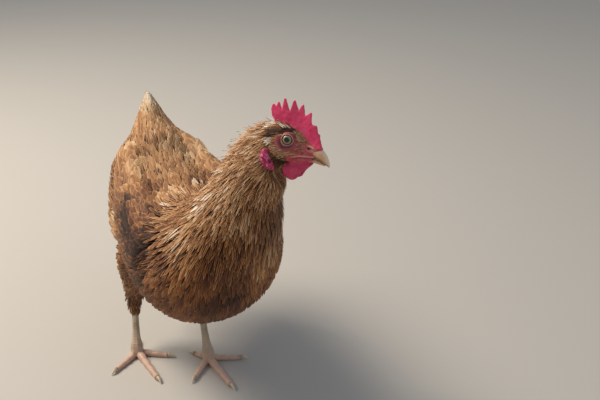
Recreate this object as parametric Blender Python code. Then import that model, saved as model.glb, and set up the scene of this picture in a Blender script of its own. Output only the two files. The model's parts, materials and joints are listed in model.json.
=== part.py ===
"""Brown laying hen, life size, in a walking stance with her head turned to her left.

Metres, +Z up, +X the way the body points, +Y the hen's left. The body is one smooth surface
of oval rings, from the tail tip along the back and up the neck to the face, parted by thin
cuts. Wings, thighs, shanks, toes, claws and the parts of the head are solids of their own.
Figures in the tables below are millimetres.
"""

import math

import bmesh
import bpy
import numpy as np
from mathutils import Euler, Matrix, Vector

MM = 0.001
GAP = 0.3 * MM          # clearance that every piece keeps to its neighbours
CUTTER_SWELL = 1.2 * GAP    # how far a cutter stands out from the piece it is made from
CUT_WIDTH = 1.3 * GAP   # of the thin cuts that part the body
SLIVER = 0.002 * MM     # edges shorter than this are closed up after a cut
RING_SIDES = 24         # points round a ring of the body
LEFT, RIGHT = 1, -1

# Head: the point midway between the eyes, and how the head is turned.
HEAD_CENTRE = (171, 61, 351)
HEAD_YAW, HEAD_PITCH, HEAD_ROLL = 46, 6, -12
EYE_RADIUS = 6.2
EYE_AT = (-0.5, 9.6, 3.8)

# Feet: where the toes meet the shank, which way the middle toe points, and the hock above.
FOOT_JOINT = {RIGHT: (-51, -65, 13), LEFT: (-6, 15, 13)}
FOOT_YAW = {RIGHT: 11, LEFT: 10}
HOCK = {RIGHT: (-84, -56, 92), LEFT: (-38, 14, 96)}
SHANK_RADIUS = 5.6
# Share of the way up from the foot to the hock, and the radius there against SHANK_RADIUS.
SHANK_SHAPE = [(-0.06, 1.45), (0.04, 1.4), (0.14, 1.12), (0.3, 0.98), (0.55, 0.95), (0.8, 1.05),
               (0.93, 1.35), (1.02, 1.2)]
SOLE_SWELL = 1.15
# Toe: its angle from the middle toe towards the hen's outer side, length, root radius, joints.
TOES = {
    "inner": (-49, 40, 4.6, 3),
    "middle": (0, 62, 5.2, 4),
    "outer": (61, 40, 4.4, 4),
    "hallux": (-152, 20, 4.0, 2),
}
PAD_SWELL = 0.09        # how much a toe swells at its pads
TOE_TAPER = 0.32        # how much thinner its tip is than its root
TOE_SINK = 0.86         # height of its middle over the floor, in radii, so that it has a flat
TOE_RISE = 5            # how far it climbs to the shank at its root
CLAW_LENGTH = 11
CLAW_RADIUS = 2.6
CLAW_POINT = 0.35
CLAW_HUMP = 1.6
CLAW_DROP = 0.78        # share of its root's height that the claw drops

COLOURS = {
    "plumage": ((0.50, 0.25, 0.09), 0.8),
    "comb_skin": ((0.62, 0.03, 0.07), 0.5),
    "face_skin": ((0.55, 0.12, 0.10), 0.55),
    "horn": ((0.55, 0.36, 0.24), 0.35),
    "leg_scale": ((0.52, 0.40, 0.24), 0.5),
    "iris": ((0.30, 0.26, 0.10), 0.1),
}

# Body rings, tail to throat: top point, bottom point, half width, heading of the ring in
# degrees, and how much wider the ring is below its middle than above it.
BODY_RINGS = [
    ((-206, 4, 300), (-224, 4, 254), 4, 0, 0.0),
    ((-191, 3, 292), (-211, 3, 226), 17, 0, 0.2),
    ((-170, 2, 279), (-194, 2, 194), 34, 0, 0.3),
    ((-142, 0, 266), (-172, 0, 164), 55, 0, 0.35),
    ((-108, 0, 255), (-143, 0, 135), 69, 0, 0.3),
    ((-72, 0, 249), (-102, 0, 115), 76, 0, 0.25),
    ((-30, 0, 247), (-50, 0, 107), 78, 0, 0.12),
    ((8, 0, 249), (5, 0, 105), 80, 0, 0.0),
    ((38, 0, 254), (55, 3, 107), 81, 2, 0.0),
    ((58, 4, 262), (100, 8, 125), 79, 8, 0.05),
    ((72, 9, 273), (132, 15, 160), 73, 16, 0.1),
    ((83, 15, 290), (150, 26, 204), 62, 25, 0.1),
    ((94, 22, 312), (160, 37, 246), 49, 34, 0.05),
    ((109, 31, 337), (169, 46, 282), 36, 40, 0.0),
    ((128, 40, 356), (176, 52, 307), 24, 43, 0.0),
]
# Head rings in the head's own frame (along the beak, height): top, bottom, half width.
HEAD_RINGS = [
    ((-24, 15), (-17, -25), 17.0, 0.0),
    ((-11, 17), (-9, -24), 16.6, 0.0),
    ((3, 14.5), (0, -22), 15.0, 0.0),
    ((13, 8.5), (10, -19), 12.0, 0.05),
    ((20, 4), (19, -16.5), 8.8, 0.1),
    ((26, 1.6), (25, -13.5), 5.6, 0.1),
]
# Cuts that part the body, as positions along the list of rings.
CUTS = {"tail": (0, 2.8), "trunk": (2.8, 9.4), "neck_lower": (9.4, 11.9),
        "neck_upper": (11.9, 14.1), "head": (14.1, 20)}
STEP = 0.4              # spacing of the lofted rings, in rings of the table

# Wing: rings from shoulder to tip, each top, bottom, distance out and half thickness.
WING_RINGS = [
    ((80, 222), (82, 206), 73, 4),
    ((68, 238), (72, 190), 73, 11),
    ((42, 244), (46, 181), 71, 16),
    ((0, 246), (-2, 178), 70, 17),
    ((-45, 247), (-50, 181), 68, 16),
    ((-88, 248), (-94, 187), 62, 14),
    ((-126, 251), (-132, 197), 51, 11),
    ((-156, 255), (-160, 215), 38, 7),
    ((-180, 259), (-181, 246), 26, 2),
]
WING_LEAN = 0.3         # how far the wing's top leans in over the back, as a share of its depth
# Thigh: the hip, then rings given by the share of the way from the hip to the hock's feathers,
# how far forward they bulge, and their fore-and-aft and side radii. Rings past 1 go on down the
# shank, as a share of it.
HIP = {RIGHT: (-40, -50, 146), LEFT: (-18, 44, 146)}
THIGH_RINGS = [(-0.45, 0, 20, 14), (-0.2, 4, 44, 30), (0, 8, 45, 32), (0.25, 9, 35, 27),
               (0.5, 8, 26, 21), (0.75, 4, 18, 16), (1, 0, 13.5, 12.5), (1.14, 0, 10.5, 10),
               (1.28, 0, 6.8, 6.6)]
THIGH_SECTIONS = 13
THIGH_TILT = 6          # how much higher the front of the hip's ring is than its middle
THIGH_END = 0.26        # how far below the hock its feathers reach, as a share of the shank

COMB_BASE = [(30, 0), (18, -4), (10, 3), (-2, 11), (-14, 13), (-19, 16.5)]
COMB_REAR = [(-23, 20), (-25, 26)]
# Each point of the comb, rear to front, then the notch in front of it.
COMB_EDGE = [((-23.5, 31), (-20.3, 29.5)), ((-18.8, 34), (-14.2, 26)), ((-13, 38.6), (-6.4, 26.5)),
             ((-3.8, 38.6), (1.4, 29)), ((4.6, 36.4), (8.2, 26)), ((13.6, 31.2), (16.3, 20.2)),
             ((20.6, 21), (23, 15.4)), ((24.8, 13.5), (26.2, 9.5))]
COMB_POINT_WIDTH = 1.1
COMB_THICKNESS = 5


def spline(keys: np.ndarray, at: np.ndarray) -> np.ndarray:
    """Catmull-Rom values of the key rows at the positions given, counted in rows."""
    last = len(keys) - 1
    rows = np.vstack([2 * keys[0] - keys[1], keys, 2 * keys[-1] - keys[-2]])
    base = np.clip(np.floor(at).astype(int), 0, last - 1)
    t = (at - base)[:, None]
    a, b, c, d = (rows[base + k] for k in range(4))
    return 0.5 * (2 * b + (c - a) * t + (2 * a - 5 * b + 4 * c - d) * t**2
                  + (3 * b - 3 * c + d - a) * t**3)


def head_matrix() -> Matrix:
    """The head's frame: +X along the beak, +Y to the hen's left, +Z up, in millimetres."""
    turn = Euler([math.radians(a) for a in (HEAD_ROLL, HEAD_PITCH, HEAD_YAW)], "XYZ")
    return Matrix.Translation(HEAD_CENTRE) @ turn.to_matrix().to_4x4()


HEAD = head_matrix()


def body_keys() -> np.ndarray:
    """One row for each body ring: top, bottom, half width times side vector, and lower width."""
    rows = []
    for top, bottom, width, yaw, low in BODY_RINGS:
        side = Vector((-math.sin(math.radians(yaw)), math.cos(math.radians(yaw)), 0)) * width
        rows.append([*top, *bottom, *side, low])
    for top, bottom, width, low in HEAD_RINGS:
        ends = [HEAD @ Vector((x, 0, z)) for x, z in (top, bottom)]
        side = HEAD.to_3x3() @ Vector((0, width, 0))
        rows.append([*ends[0], *ends[1], *side, low])
    return np.array(rows)


def oval(row: np.ndarray, sides: int) -> np.ndarray:
    """The points of one oval ring, in metres, from its row of top, bottom, side and lower width."""
    top, bottom, side, low = row[:3], row[3:6], row[6:9], row[9]
    angle = np.arange(sides) / sides * 2 * math.pi
    rise, reach = np.cos(angle)[:, None], np.sin(angle)[:, None]
    return ((top + bottom) / 2 + (top - bottom) / 2 * rise
            + side * reach * (1 - low * rise)) * MM


def loft(name: str, rings: list, material: str) -> bpy.types.Object:
    """A closed solid through rings of equal counts of points, with a pole at each end."""
    work = bmesh.new()
    loops = [[work.verts.new(p) for p in ring] for ring in rings]
    sides = len(loops[0])
    for one, two in zip(loops, loops[1:]):
        for i in range(sides):
            j = (i + 1) % sides
            work.faces.new((one[i], one[j], two[j], two[i]))
    for loop in (loops[0], loops[-1]):
        middle = sum((v.co for v in loop), Vector()) / sides
        pole = work.verts.new(middle)
        for i in range(sides):
            work.faces.new((loop[i], loop[(i + 1) % sides], pole))
    bmesh.ops.recalc_face_normals(work, faces=work.faces)
    return solid_from(work, name, material)


def solid_from(work: bmesh.types.BMesh, name: str, material: str) -> bpy.types.Object:
    """Makes an object of the part from a bmesh, all triangles, and frees the bmesh."""
    bmesh.ops.triangulate(work, faces=work.faces)
    mesh = bpy.data.meshes.new(name)
    work.to_mesh(mesh)
    work.free()
    return place(bpy.data.objects.new(name, mesh), material)


def place(solid: bpy.types.Object, material: str) -> bpy.types.Object:
    """Puts an object in the hen's collection with its material."""
    HEN.objects.link(solid)
    solid.data.materials.clear()
    solid.data.materials.append(MATERIALS[material])
    WHOLE[solid.name] = solid.data.copy()
    return solid


def make_material(name: str, colour: tuple, roughness: float) -> bpy.types.Material:
    """A plain Principled material."""
    material = bpy.data.materials.new(name)
    material.use_nodes = True
    shader = material.node_tree.nodes["Principled BSDF"]
    shader.inputs["Base Color"].default_value = (*colour, 1)
    shader.inputs["Roughness"].default_value = roughness
    return material


def apply_modifiers(solid: bpy.types.Object) -> None:
    """Replaces an object's mesh by its evaluated mesh."""
    graph = bpy.context.evaluated_depsgraph_get()
    mesh = bpy.data.meshes.new_from_object(solid.evaluated_get(graph))
    solid.modifiers.clear()
    solid.data = mesh


def mesh_of(curve: bpy.types.Object) -> bpy.types.Object:
    """Turns a curve object into a welded mesh object of the same name."""
    graph = bpy.context.evaluated_depsgraph_get()
    mesh = bpy.data.meshes.new_from_object(curve.evaluated_get(graph))
    name, matrix = curve.name, curve.matrix_world.copy()
    material = curve.data.materials[0]
    bpy.data.objects.remove(curve)
    work = bmesh.new()
    work.from_mesh(mesh)
    bmesh.ops.remove_doubles(work, verts=work.verts, dist=0.01 * MM)
    bmesh.ops.transform(work, matrix=matrix, verts=work.verts)
    bmesh.ops.recalc_face_normals(work, faces=work.faces)
    return solid_from(work, name, material.name)


def cut_clear(solid: bpy.types.Object, *neighbours: bpy.types.Object) -> None:
    """Cuts a solid back from its neighbours' whole shapes, leaving the gap all round them."""
    for other in neighbours:
        mesh = WHOLE[other.name].copy()
        work = bmesh.new()
        work.from_mesh(mesh)
        work.normal_update()
        offsets = [vert.normal * CUTTER_SWELL for vert in work.verts]
        for vert, offset in zip(work.verts, offsets):
            vert.co += offset
        work.to_mesh(mesh)
        work.free()
        cutter = bpy.data.objects.new(f"cutter_{other.name}", mesh)
        CUTTERS.objects.link(cutter)
        cutter.hide_render = True
        cutter.display_type = "WIRE"
        cut = solid.modifiers.new("clear", "BOOLEAN")
        cut.operation, cut.solver, cut.object = "DIFFERENCE", "EXACT", cutter
        bpy.context.view_layer.update()
        apply_modifiers(solid)
        bpy.data.objects.remove(cutter)
    keep_largest(solid)


def keep_largest(solid: bpy.types.Object) -> None:
    """Removes the small offcuts that a cut leaves, so that one body stays."""
    work = bmesh.new()
    work.from_mesh(solid.data)
    left, bodies = set(work.verts), []
    while left:
        loose, front = set(), [left.pop()]
        while front:
            vert = front.pop()
            loose.add(vert)
            front += [n for e in vert.link_edges if (n := e.other_vert(vert)) not in loose]
        left -= loose
        bodies.append(loose)
    bodies.sort(key=len)
    for offcut in bodies[:-1]:
        bmesh.ops.delete(work, geom=list(offcut), context="VERTS")
    bmesh.ops.dissolve_degenerate(work, edges=work.edges, dist=SLIVER)
    work.to_mesh(solid.data)
    work.free()


def cut_at_floor(solid: bpy.types.Object) -> None:
    """Gives a solid a flat on the floor by cutting away what is below it."""
    work = bmesh.new()
    work.from_mesh(solid.data)
    geometry = work.verts[:] + work.edges[:] + work.faces[:]
    bmesh.ops.bisect_plane(work, geom=geometry, dist=0.001 * MM, plane_co=(0, 0, 0),
                           plane_no=(0, 0, -1), clear_outer=True)
    rim = [e for e in work.edges if e.is_boundary]
    bmesh.ops.holes_fill(work, edges=rim)
    bmesh.ops.recalc_face_normals(work, faces=work.faces)
    work.to_mesh(solid.data)
    work.free()


def round_ring(centre: Vector, along: Vector, across: Vector, wide: float, deep: float,
               sides: int) -> np.ndarray:
    """An ellipse about a centre line: wide across it, deep at right angles, in metres."""
    up = along.cross(across).normalized()
    across = up.cross(along).normalized()
    turn = [2 * math.pi * i / sides for i in range(sides)]
    return np.array([centre + across * wide * math.sin(a) + up * deep * math.cos(a)
                     for a in turn]) * MM


def tapered(name: str, points: list, radii: list, material: str, across=(0, 1, 0),
            flat: float = 1.0, sides: int = 8) -> bpy.types.Object:
    """A rod through points in millimetres, with a radius at each, flattened by a share."""
    points = [Vector(p) for p in points]
    rings = []
    for i, point in enumerate(points):
        along = (points[min(i + 1, len(points) - 1)] - points[max(i - 1, 0)]).normalized()
        rings.append(round_ring(point, along, Vector(across), radii[i], radii[i] * flat, sides))
    return loft(name, rings, material)


def ellipsoid(name: str, centre: Vector, radii: tuple, turn: Matrix, material: str,
              rings: int = 7) -> bpy.types.Object:
    """A turned ellipsoid from a UV sphere, in millimetres."""
    work = bmesh.new()
    size = (Matrix.Diagonal(radii) * MM).to_4x4()
    matrix = Matrix.Translation(Vector(centre) * MM) @ turn.to_4x4() @ size
    bmesh.ops.create_uvsphere(work, u_segments=rings * 2, v_segments=rings, radius=1,
                              matrix=matrix)
    return solid_from(work, name, material)


def body() -> dict:
    """The tail, trunk, neck and head: one lofted surface parted by thin cuts."""
    keys = body_keys()
    solids = {}
    for name, (start, end) in CUTS.items():
        count = max(3, round((end - start) / STEP) + 1)
        at = np.linspace(start, end, count)
        rings = [oval(row, RING_SIDES) for row in spline(keys, at)]
        material = "face_skin" if name == "head" else "plumage"
        if start > 0:
            rings[0] = nudged(rings[0], rings[1])
        solids[name] = loft(name, rings, material)
    return solids


def nudged(ring: np.ndarray, towards: np.ndarray) -> np.ndarray:
    """A ring moved by the gap towards the next one, which opens the cut between two parts."""
    step = towards.mean(axis=0) - ring.mean(axis=0)
    return ring + step / np.linalg.norm(step) * CUT_WIDTH


def wing(side: int, trunk_parts: list) -> bpy.types.Object:
    """A folded wing, a long lens over the flank, cut to the body's side."""
    keys = []
    for top, bottom, out, thick in WING_RINGS:
        lean = WING_LEAN * (top[1] - bottom[1])
        keys.append([top[0], side * (out - lean), top[1], bottom[0], side * (out + lean * 0.1),
                     bottom[1], 0, side * thick, side * thick * WING_LEAN, 0.0])
    at = np.linspace(0, len(keys) - 1, 13)
    rings = [oval(row, 14) for row in spline(np.array(keys), at)]
    solid = loft(f"wing_{NAMES[side]}", rings, "plumage")
    cut_clear(solid, *trunk_parts)
    return solid


def thigh(side: int) -> bpy.types.Object:
    """The feathered thigh, from inside the flank down past the hock."""
    hip, hock = Vector(HIP[side]), Vector(HOCK[side])
    foot = Vector(FOOT_JOINT[side])
    end = hock.lerp(foot, THIGH_END)
    keys = []
    for share, bulge, deep, wide in THIGH_RINGS:
        centre = hip.lerp(end, share) if share <= 1 else hock.lerp(foot, THIGH_END + share - 1)
        centre += Vector((bulge, 0, 0))
        reach = Vector((deep, 0, THIGH_TILT * max(0, 1 - share)))
        keys.append([*(centre + reach), *(centre - reach), 0, wide, 0, 0])
    at = np.linspace(0, len(keys) - 1, THIGH_SECTIONS)
    rings = [oval(row, 16) for row in spline(np.array(keys), at)]
    return loft(f"thigh_{NAMES[side]}", rings, "plumage")


def leg(side: int, thigh_solid: bpy.types.Object) -> None:
    """The scaled shank with its pad, the four toes and their claws."""
    joint, hock = Vector(FOOT_JOINT[side]), Vector(HOCK[side])
    points = [Vector((joint.x, joint.y, -1))]
    points += [joint.lerp(hock, share) for share, _ in SHANK_SHAPE]
    radii = [SHANK_RADIUS * swell for swell in (SOLE_SWELL, *(s for _, s in SHANK_SHAPE))]
    shank = tapered(f"shank_{NAMES[side]}", points, radii, "leg_scale")
    cut_at_floor(shank)
    cut_clear(shank, thigh_solid)
    for toe_name, spec in TOES.items():
        toe(side, toe_name, spec, joint, shank)


def toe(side: int, toe_name: str, spec: tuple, joint: Vector, shank: bpy.types.Object) -> None:
    """One toe lying on the floor, its pads slightly swollen between the joints, and its claw."""
    angle, length, radius, pads = spec
    heading = math.radians(FOOT_YAW[side] + side * angle)
    along = Vector((math.cos(heading), math.sin(heading), 0))
    across = Vector((-along.y, along.x, 0))
    count = pads * 2 + 1
    points, radii = [], []
    for i in range(count):
        share = i / (count - 1)
        swell = 1 + PAD_SWELL * math.cos(2 * math.pi * share * pads)
        radii.append(radius * (1 - TOE_TAPER * share) * swell)
        rise = TOE_RISE * max(0, 1 - share * 4) ** 2
        points.append(Vector((joint.x, joint.y, 0)) + along * length * share
                      + Vector((0, 0, radii[-1] * TOE_SINK + rise)))
    solid = tapered(f"toe_{toe_name}_{NAMES[side]}", points, radii, "leg_scale", across)
    cut_at_floor(solid)
    cut_clear(solid, shank, *FOOT_SOLIDS[side])
    FOOT_SOLIDS[side].append(solid)
    claw(side, toe_name, points[-1], along, across, solid)


def claw(side: int, toe_name: str, start: Vector, along: Vector, across: Vector,
         toe_solid: bpy.types.Object) -> None:
    """A curved claw that springs from the toe's tip and touches the floor with its point."""
    points, radii = [], []
    for i in range(5):
        share = i / 4
        drop = start.z * CLAW_DROP * share**2
        hump = CLAW_HUMP * math.sin(math.pi * share)
        points.append(start + along * CLAW_LENGTH * share + Vector((0, 0, hump - drop)))
        radii.append(CLAW_RADIUS * (1 - share) ** 0.7 + CLAW_POINT)
    solid = tapered(f"claw_{toe_name}_{NAMES[side]}", points, radii, "horn", across, 1.15, 6)
    cut_at_floor(solid)
    cut_clear(solid, toe_solid)


def beak(head_solid: bpy.types.Object) -> None:
    """The upper bill, hooked at its tip, and the shorter lower bill under it."""
    upper = [((18, 2.4), (18, -10), 6.6), ((25, 2), (25, -11.4), 6.2),
             ((30, 0.8), (30.5, -12.6), 4.9), ((34.8, -2.6), (35.4, -13.4), 3.5),
             ((38.4, -7.6), (38.6, -14.6), 2.1), ((40.6, -12.6), (40, -15.6), 0.6)]
    lower = [((18, -11.4), (18, -16), 5.6), ((25, -12.6), (25, -16.8), 4.9),
             ((31, -13.6), (30.4, -17), 3.8), ((35.4, -14.4), (35, -16.8), 2.2),
             ((37.2, -15.2), (37, -16.4), 0.8)]
    made = []
    for name, table in (("beak_upper", upper), ("beak_lower", lower)):
        keys = []
        for top, bottom, width in table:
            ends = [HEAD @ Vector((x, 0, z)) for x, z in (top, bottom)]
            side = HEAD.to_3x3() @ Vector((0, width, 0))
            keys.append([*ends[0], *ends[1], *side, 0.25])
        at = np.linspace(0, len(keys) - 1, 8)
        rings = [oval(row, 12) for row in spline(np.array(keys), at)]
        made.append(loft(name, rings, "horn"))
    cut_clear(made[1], made[0])
    for solid in made:
        cut_clear(solid, head_solid)


def comb(head_solid: bpy.types.Object, beak_solid: bpy.types.Object) -> bpy.types.Object:
    """The single comb: a thin upright blade with seven points, seated on the skull."""
    outline = [*COMB_BASE, *COMB_REAR]
    for (x, z), notch in COMB_EDGE:
        outline += [(x - COMB_POINT_WIDTH, z - 1.2), (x, z), (x + COMB_POINT_WIDTH, z - 1.6), notch]
    curve = bpy.data.curves.new("comb", "CURVE")
    curve.dimensions, curve.fill_mode = "2D", "BOTH"
    curve.extrude = COMB_THICKNESS / 2 * MM
    line = curve.splines.new("POLY")
    line.points.add(len(outline) - 1)
    for point, (x, z) in zip(line.points, outline):
        point.co = (x * MM, z * MM, 0, 1)
    line.use_cyclic_u = True
    blade = bpy.data.objects.new("comb", curve)
    place(blade, "comb_skin")
    stand = Matrix.Rotation(math.radians(90), 4, "X")
    blade.matrix_world = Matrix.Scale(MM, 4) @ HEAD @ Matrix.Scale(1 / MM, 4) @ stand
    bpy.context.view_layer.update()
    solid = mesh_of(blade)
    cut_clear(solid, head_solid, beak_solid)
    return solid


def hanging_skin(head_solid: bpy.types.Object, *others: bpy.types.Object) -> None:
    """The two wattles under the chin and the two ear lobes behind the cheeks."""
    turned = HEAD.to_3x3()
    for side in (RIGHT, LEFT):
        for name, centre, radii, splay, slope in (
                ("wattle", (10.5, 6.4, -23.5), (14, 2.6, 9.5), -6, -26),
                ("earlobe", (-14.5, 16.8, -18), (11.5, 2.6, 5.5), -12, 44)):
            x, y, z = centre
            lie = Euler((math.radians(splay * side), math.radians(slope), 0)).to_matrix()
            lobe = ellipsoid(f"{name}_{NAMES[side]}", HEAD @ Vector((x, y * side, z)), radii,
                             turned @ lie, "comb_skin", 6)
            cut_clear(lobe, head_solid, *others)


def eyes(head_solid: bpy.types.Object) -> None:
    """An eyeball in a socket on each side of the head, with only its front showing."""
    for side in (RIGHT, LEFT):
        centre = HEAD @ Vector((EYE_AT[0], EYE_AT[1] * side, EYE_AT[2]))
        ball = ellipsoid(f"eye_{NAMES[side]}", centre, (EYE_RADIUS,) * 3, HEAD.to_3x3(), "iris")
        cut_clear(head_solid, ball)


def stand_on_origin(solids: list) -> None:
    """Moves the hen so that the middle of her bounding box's underside is the origin."""
    points = np.array([v.co for solid in solids for v in solid.data.vertices])
    low, high = points.min(axis=0), points.max(axis=0)
    shift = Matrix.Translation((-(low[0] + high[0]) / 2, -(low[1] + high[1]) / 2, -low[2]))
    for solid in solids:
        solid.data.transform(shift)
        solid.data.shade_smooth()
        solid.data.set_sharp_from_angle(angle=math.radians(50))


for leftover in list(bpy.data.objects):
    bpy.data.objects.remove(leftover)
HEN = bpy.data.collections.new("hen")
CUTTERS = bpy.data.collections.new("cutters")
for collection in (HEN, CUTTERS):
    bpy.context.scene.collection.children.link(collection)
MATERIALS = {name: make_material(name, *look) for name, look in COLOURS.items()}
NAMES = {LEFT: "left", RIGHT: "right"}
FOOT_SOLIDS = {LEFT: [], RIGHT: []}     # the toes made so far on each foot
WHOLE = {}              # each piece's mesh before any cut

BODY = body()
WINGS = {side: wing(side, [BODY["tail"], BODY["trunk"], BODY["neck_lower"]]) for side in NAMES}
THIGHS = {side: thigh(side) for side in NAMES}
cut_clear(BODY["trunk"], *THIGHS.values())
for hand, drumstick in THIGHS.items():
    cut_clear(drumstick, WINGS[hand])
    leg(hand, drumstick)
beak(BODY["head"])
comb(BODY["head"], bpy.data.objects["beak_upper"])
hanging_skin(BODY["head"], BODY["neck_upper"], bpy.data.objects["beak_lower"])
eyes(BODY["head"])
stand_on_origin(list(HEN.objects))
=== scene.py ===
"""Museum model of a brown laying hen: skin, feather coat, eyes, horn, floor, lights and camera.

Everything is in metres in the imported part's frame: +X the way the body points, +Y the hen's
left, +Z up. Figures in the tables are millimetres, and points of the head are given in the
head's own frame: x along the bill, y to her left, z up, from just below midway between the eyes.
"""
from __future__ import annotations

import json
import logging
import math
from collections.abc import Callable, Iterator, Sequence
from contextlib import contextmanager
from dataclasses import dataclass
from enum import Enum

import bpy
import numpy as np
from mathutils import Euler, Matrix, Vector
from mathutils.bvhtree import BVHTree

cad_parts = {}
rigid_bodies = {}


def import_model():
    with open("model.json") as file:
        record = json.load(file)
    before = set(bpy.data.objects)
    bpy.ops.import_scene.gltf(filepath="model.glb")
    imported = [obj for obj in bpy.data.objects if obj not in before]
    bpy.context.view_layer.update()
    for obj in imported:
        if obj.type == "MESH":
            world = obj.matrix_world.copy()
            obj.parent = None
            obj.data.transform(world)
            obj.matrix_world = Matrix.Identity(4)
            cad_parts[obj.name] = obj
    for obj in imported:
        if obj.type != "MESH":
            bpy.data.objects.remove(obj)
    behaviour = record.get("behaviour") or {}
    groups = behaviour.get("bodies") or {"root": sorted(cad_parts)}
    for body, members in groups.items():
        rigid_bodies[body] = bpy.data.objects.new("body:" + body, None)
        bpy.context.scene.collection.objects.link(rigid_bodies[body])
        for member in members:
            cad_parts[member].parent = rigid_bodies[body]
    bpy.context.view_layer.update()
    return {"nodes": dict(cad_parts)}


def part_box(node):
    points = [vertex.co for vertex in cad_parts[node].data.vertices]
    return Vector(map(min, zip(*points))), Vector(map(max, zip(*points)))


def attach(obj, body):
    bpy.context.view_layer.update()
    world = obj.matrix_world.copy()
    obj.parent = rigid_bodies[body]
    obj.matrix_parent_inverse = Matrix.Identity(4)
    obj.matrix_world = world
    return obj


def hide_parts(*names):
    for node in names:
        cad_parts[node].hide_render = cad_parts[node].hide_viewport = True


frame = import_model()

MM = 0.001
LOG = logging.getLogger("hen")
Array = np.ndarray
Keys = Sequence[tuple[float, float]]
Piece = bpy.types.Object


class Side(Enum):
    """The hen's own left and right, as the sign of Y."""

    LEFT = 1
    RIGHT = -1

    @property
    def node(self) -> str:
        """The ending of this side's node names."""
        return self.name.lower()


# ---------------------------------------------------------------- numbers and noise


def ease(values: Array, start: float, end: float) -> Array:
    """Rises smoothly from 0 at start to 1 at end, which may lie below start."""
    t = np.clip((values - start) / (end - start), 0, 1)
    return t * t * (3 - 2 * t)


def bell(*offsets: Array) -> Array:
    """A soft hump, 1 where every offset is 0 and dying out past an offset of 1."""
    return np.exp(sum(-offset ** 2 for offset in offsets))


def read(keys: Keys | float, at: Array) -> Array:
    """The value of a table of (place, value) rows, or a constant, at each place asked for."""
    places, values = zip(*keys) if isinstance(keys, Sequence) else ((0,), (keys,))
    return np.interp(at, places, values)


def unit(vectors: Array) -> Array:
    """The vectors at a length of one."""
    length = np.linalg.norm(vectors, axis=-1, keepdims=True)
    return vectors / np.maximum(length, 1e-12)


def mottle(points: Array, size: float, seed: int) -> Array:
    """Soft random patches in space.

    Args:
        points: Rows of x, y, z.
        size: The width of a patch, in the unit of the points.
        seed: Which set of patches.

    Returns:
        A value from 0 to 1 for each row.
    """
    cells = 32
    lattice = np.random.default_rng(seed).random((cells, cells, cells))
    scaled = points / size + 100.0
    base = np.floor(scaled).astype(int)
    part = ease(scaled - base, 0, 1)
    total = np.zeros(len(points))
    for corner in np.ndindex(2, 2, 2):
        share = np.prod(np.where(corner, part, 1 - part), axis=1)
        i, j, k = ((base + corner) % cells).T
        total += share * lattice[i, j, k]
    return total


# ---------------------------------------------------------------- objects and meshes


def only(piece: Piece) -> Piece:
    """Selects one object alone and makes it active."""
    bpy.ops.object.select_all(action="DESELECT")
    piece.select_set(True)
    bpy.context.view_layer.objects.active = piece
    return piece


@contextmanager
def editing(piece: Piece, chosen: Array | None = None) -> Iterator[None]:
    """Opens a mesh for editing and shuts it after.

    Args:
        piece: The mesh object.
        chosen: True at each vertex to select; without it, all of them are.
    """
    only(piece)
    bpy.ops.object.mode_set(mode="EDIT")
    bpy.ops.mesh.select_mode(type="VERT")
    bpy.ops.mesh.select_all(action="SELECT" if chosen is None else "DESELECT")
    if chosen is not None:
        bpy.ops.object.mode_set(mode="OBJECT")
        piece.data.vertices.foreach_set("select", chosen)
        bpy.ops.object.mode_set(mode="EDIT")
    yield
    bpy.ops.object.mode_set(mode="OBJECT")


def apply_modifier(piece: Piece, kind: str, **settings: object) -> None:
    """Adds a modifier to an object and applies it.

    Args:
        piece: The object to shape.
        kind: The modifier's type.
        **settings: The modifier's properties.
    """
    only(piece)
    modifier = piece.modifiers.new(kind.lower(), kind)
    for name, value in settings.items():
        setattr(modifier, name, value)
    bpy.ops.object.modifier_apply(modifier=modifier.name)


def regrow(piece: Piece, voxel: float, smoothings: int = 0) -> None:
    """Grows a piece's parts together into one surface, and smooths it.

    Args:
        piece: The mesh object.
        voxel: The grain of the new surface.
        smoothings: How many times it is smoothed.
    """
    apply_modifier(piece, "REMESH", mode="VOXEL", voxel_size=voxel)
    if smoothings:
        apply_modifier(piece, "SMOOTH", factor=0.5, iterations=smoothings)


def added(name: str, mesh: bpy.types.Mesh) -> Piece:
    """Adds a new object with this mesh to the scene."""
    piece = bpy.data.objects.new(name, mesh)
    bpy.context.scene.collection.objects.link(piece)
    return piece


def joined(pieces: list[Piece], name: str) -> Piece:
    """Joins objects into the first of them, under a new name."""
    only(pieces[0])
    for piece in pieces[1:]:
        piece.select_set(True)
    bpy.ops.object.join()
    pieces[0].name = pieces[0].data.name = name
    return pieces[0]


def cast_of(nodes: Sequence[str], name: str) -> Piece:
    """A welded copy of CAD nodes as one object, which may be changed freely."""
    twins = [added(name, frame["nodes"][node].data.copy()) for node in nodes]
    for twin in twins:
        twin.data.materials.clear()
    cast = joined(twins, name)
    with editing(cast):
        bpy.ops.mesh.remove_doubles(threshold=0.01 * MM)
    return cast


def rows_of(values: bpy.types.bpy_prop_collection, name: str) -> Array:
    """One vector property of each member of a collection, as rows of x, y, z."""
    flat = np.empty(len(values) * 3)
    values.foreach_get(name, flat)
    return flat.reshape(-1, 3)


def points_of(piece: Piece) -> Array:
    """An object's vertices, in metres."""
    return rows_of(piece.data.vertices, "co")


def normals_of(piece: Piece) -> Array:
    """An object's vertex normals."""
    return rows_of(piece.data.vertex_normals, "vector")


def put_points(piece: Piece, points: Array) -> None:
    """Moves an object's vertices to new places."""
    piece.data.vertices.foreach_set("co", points.ravel())
    piece.data.update()


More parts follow.
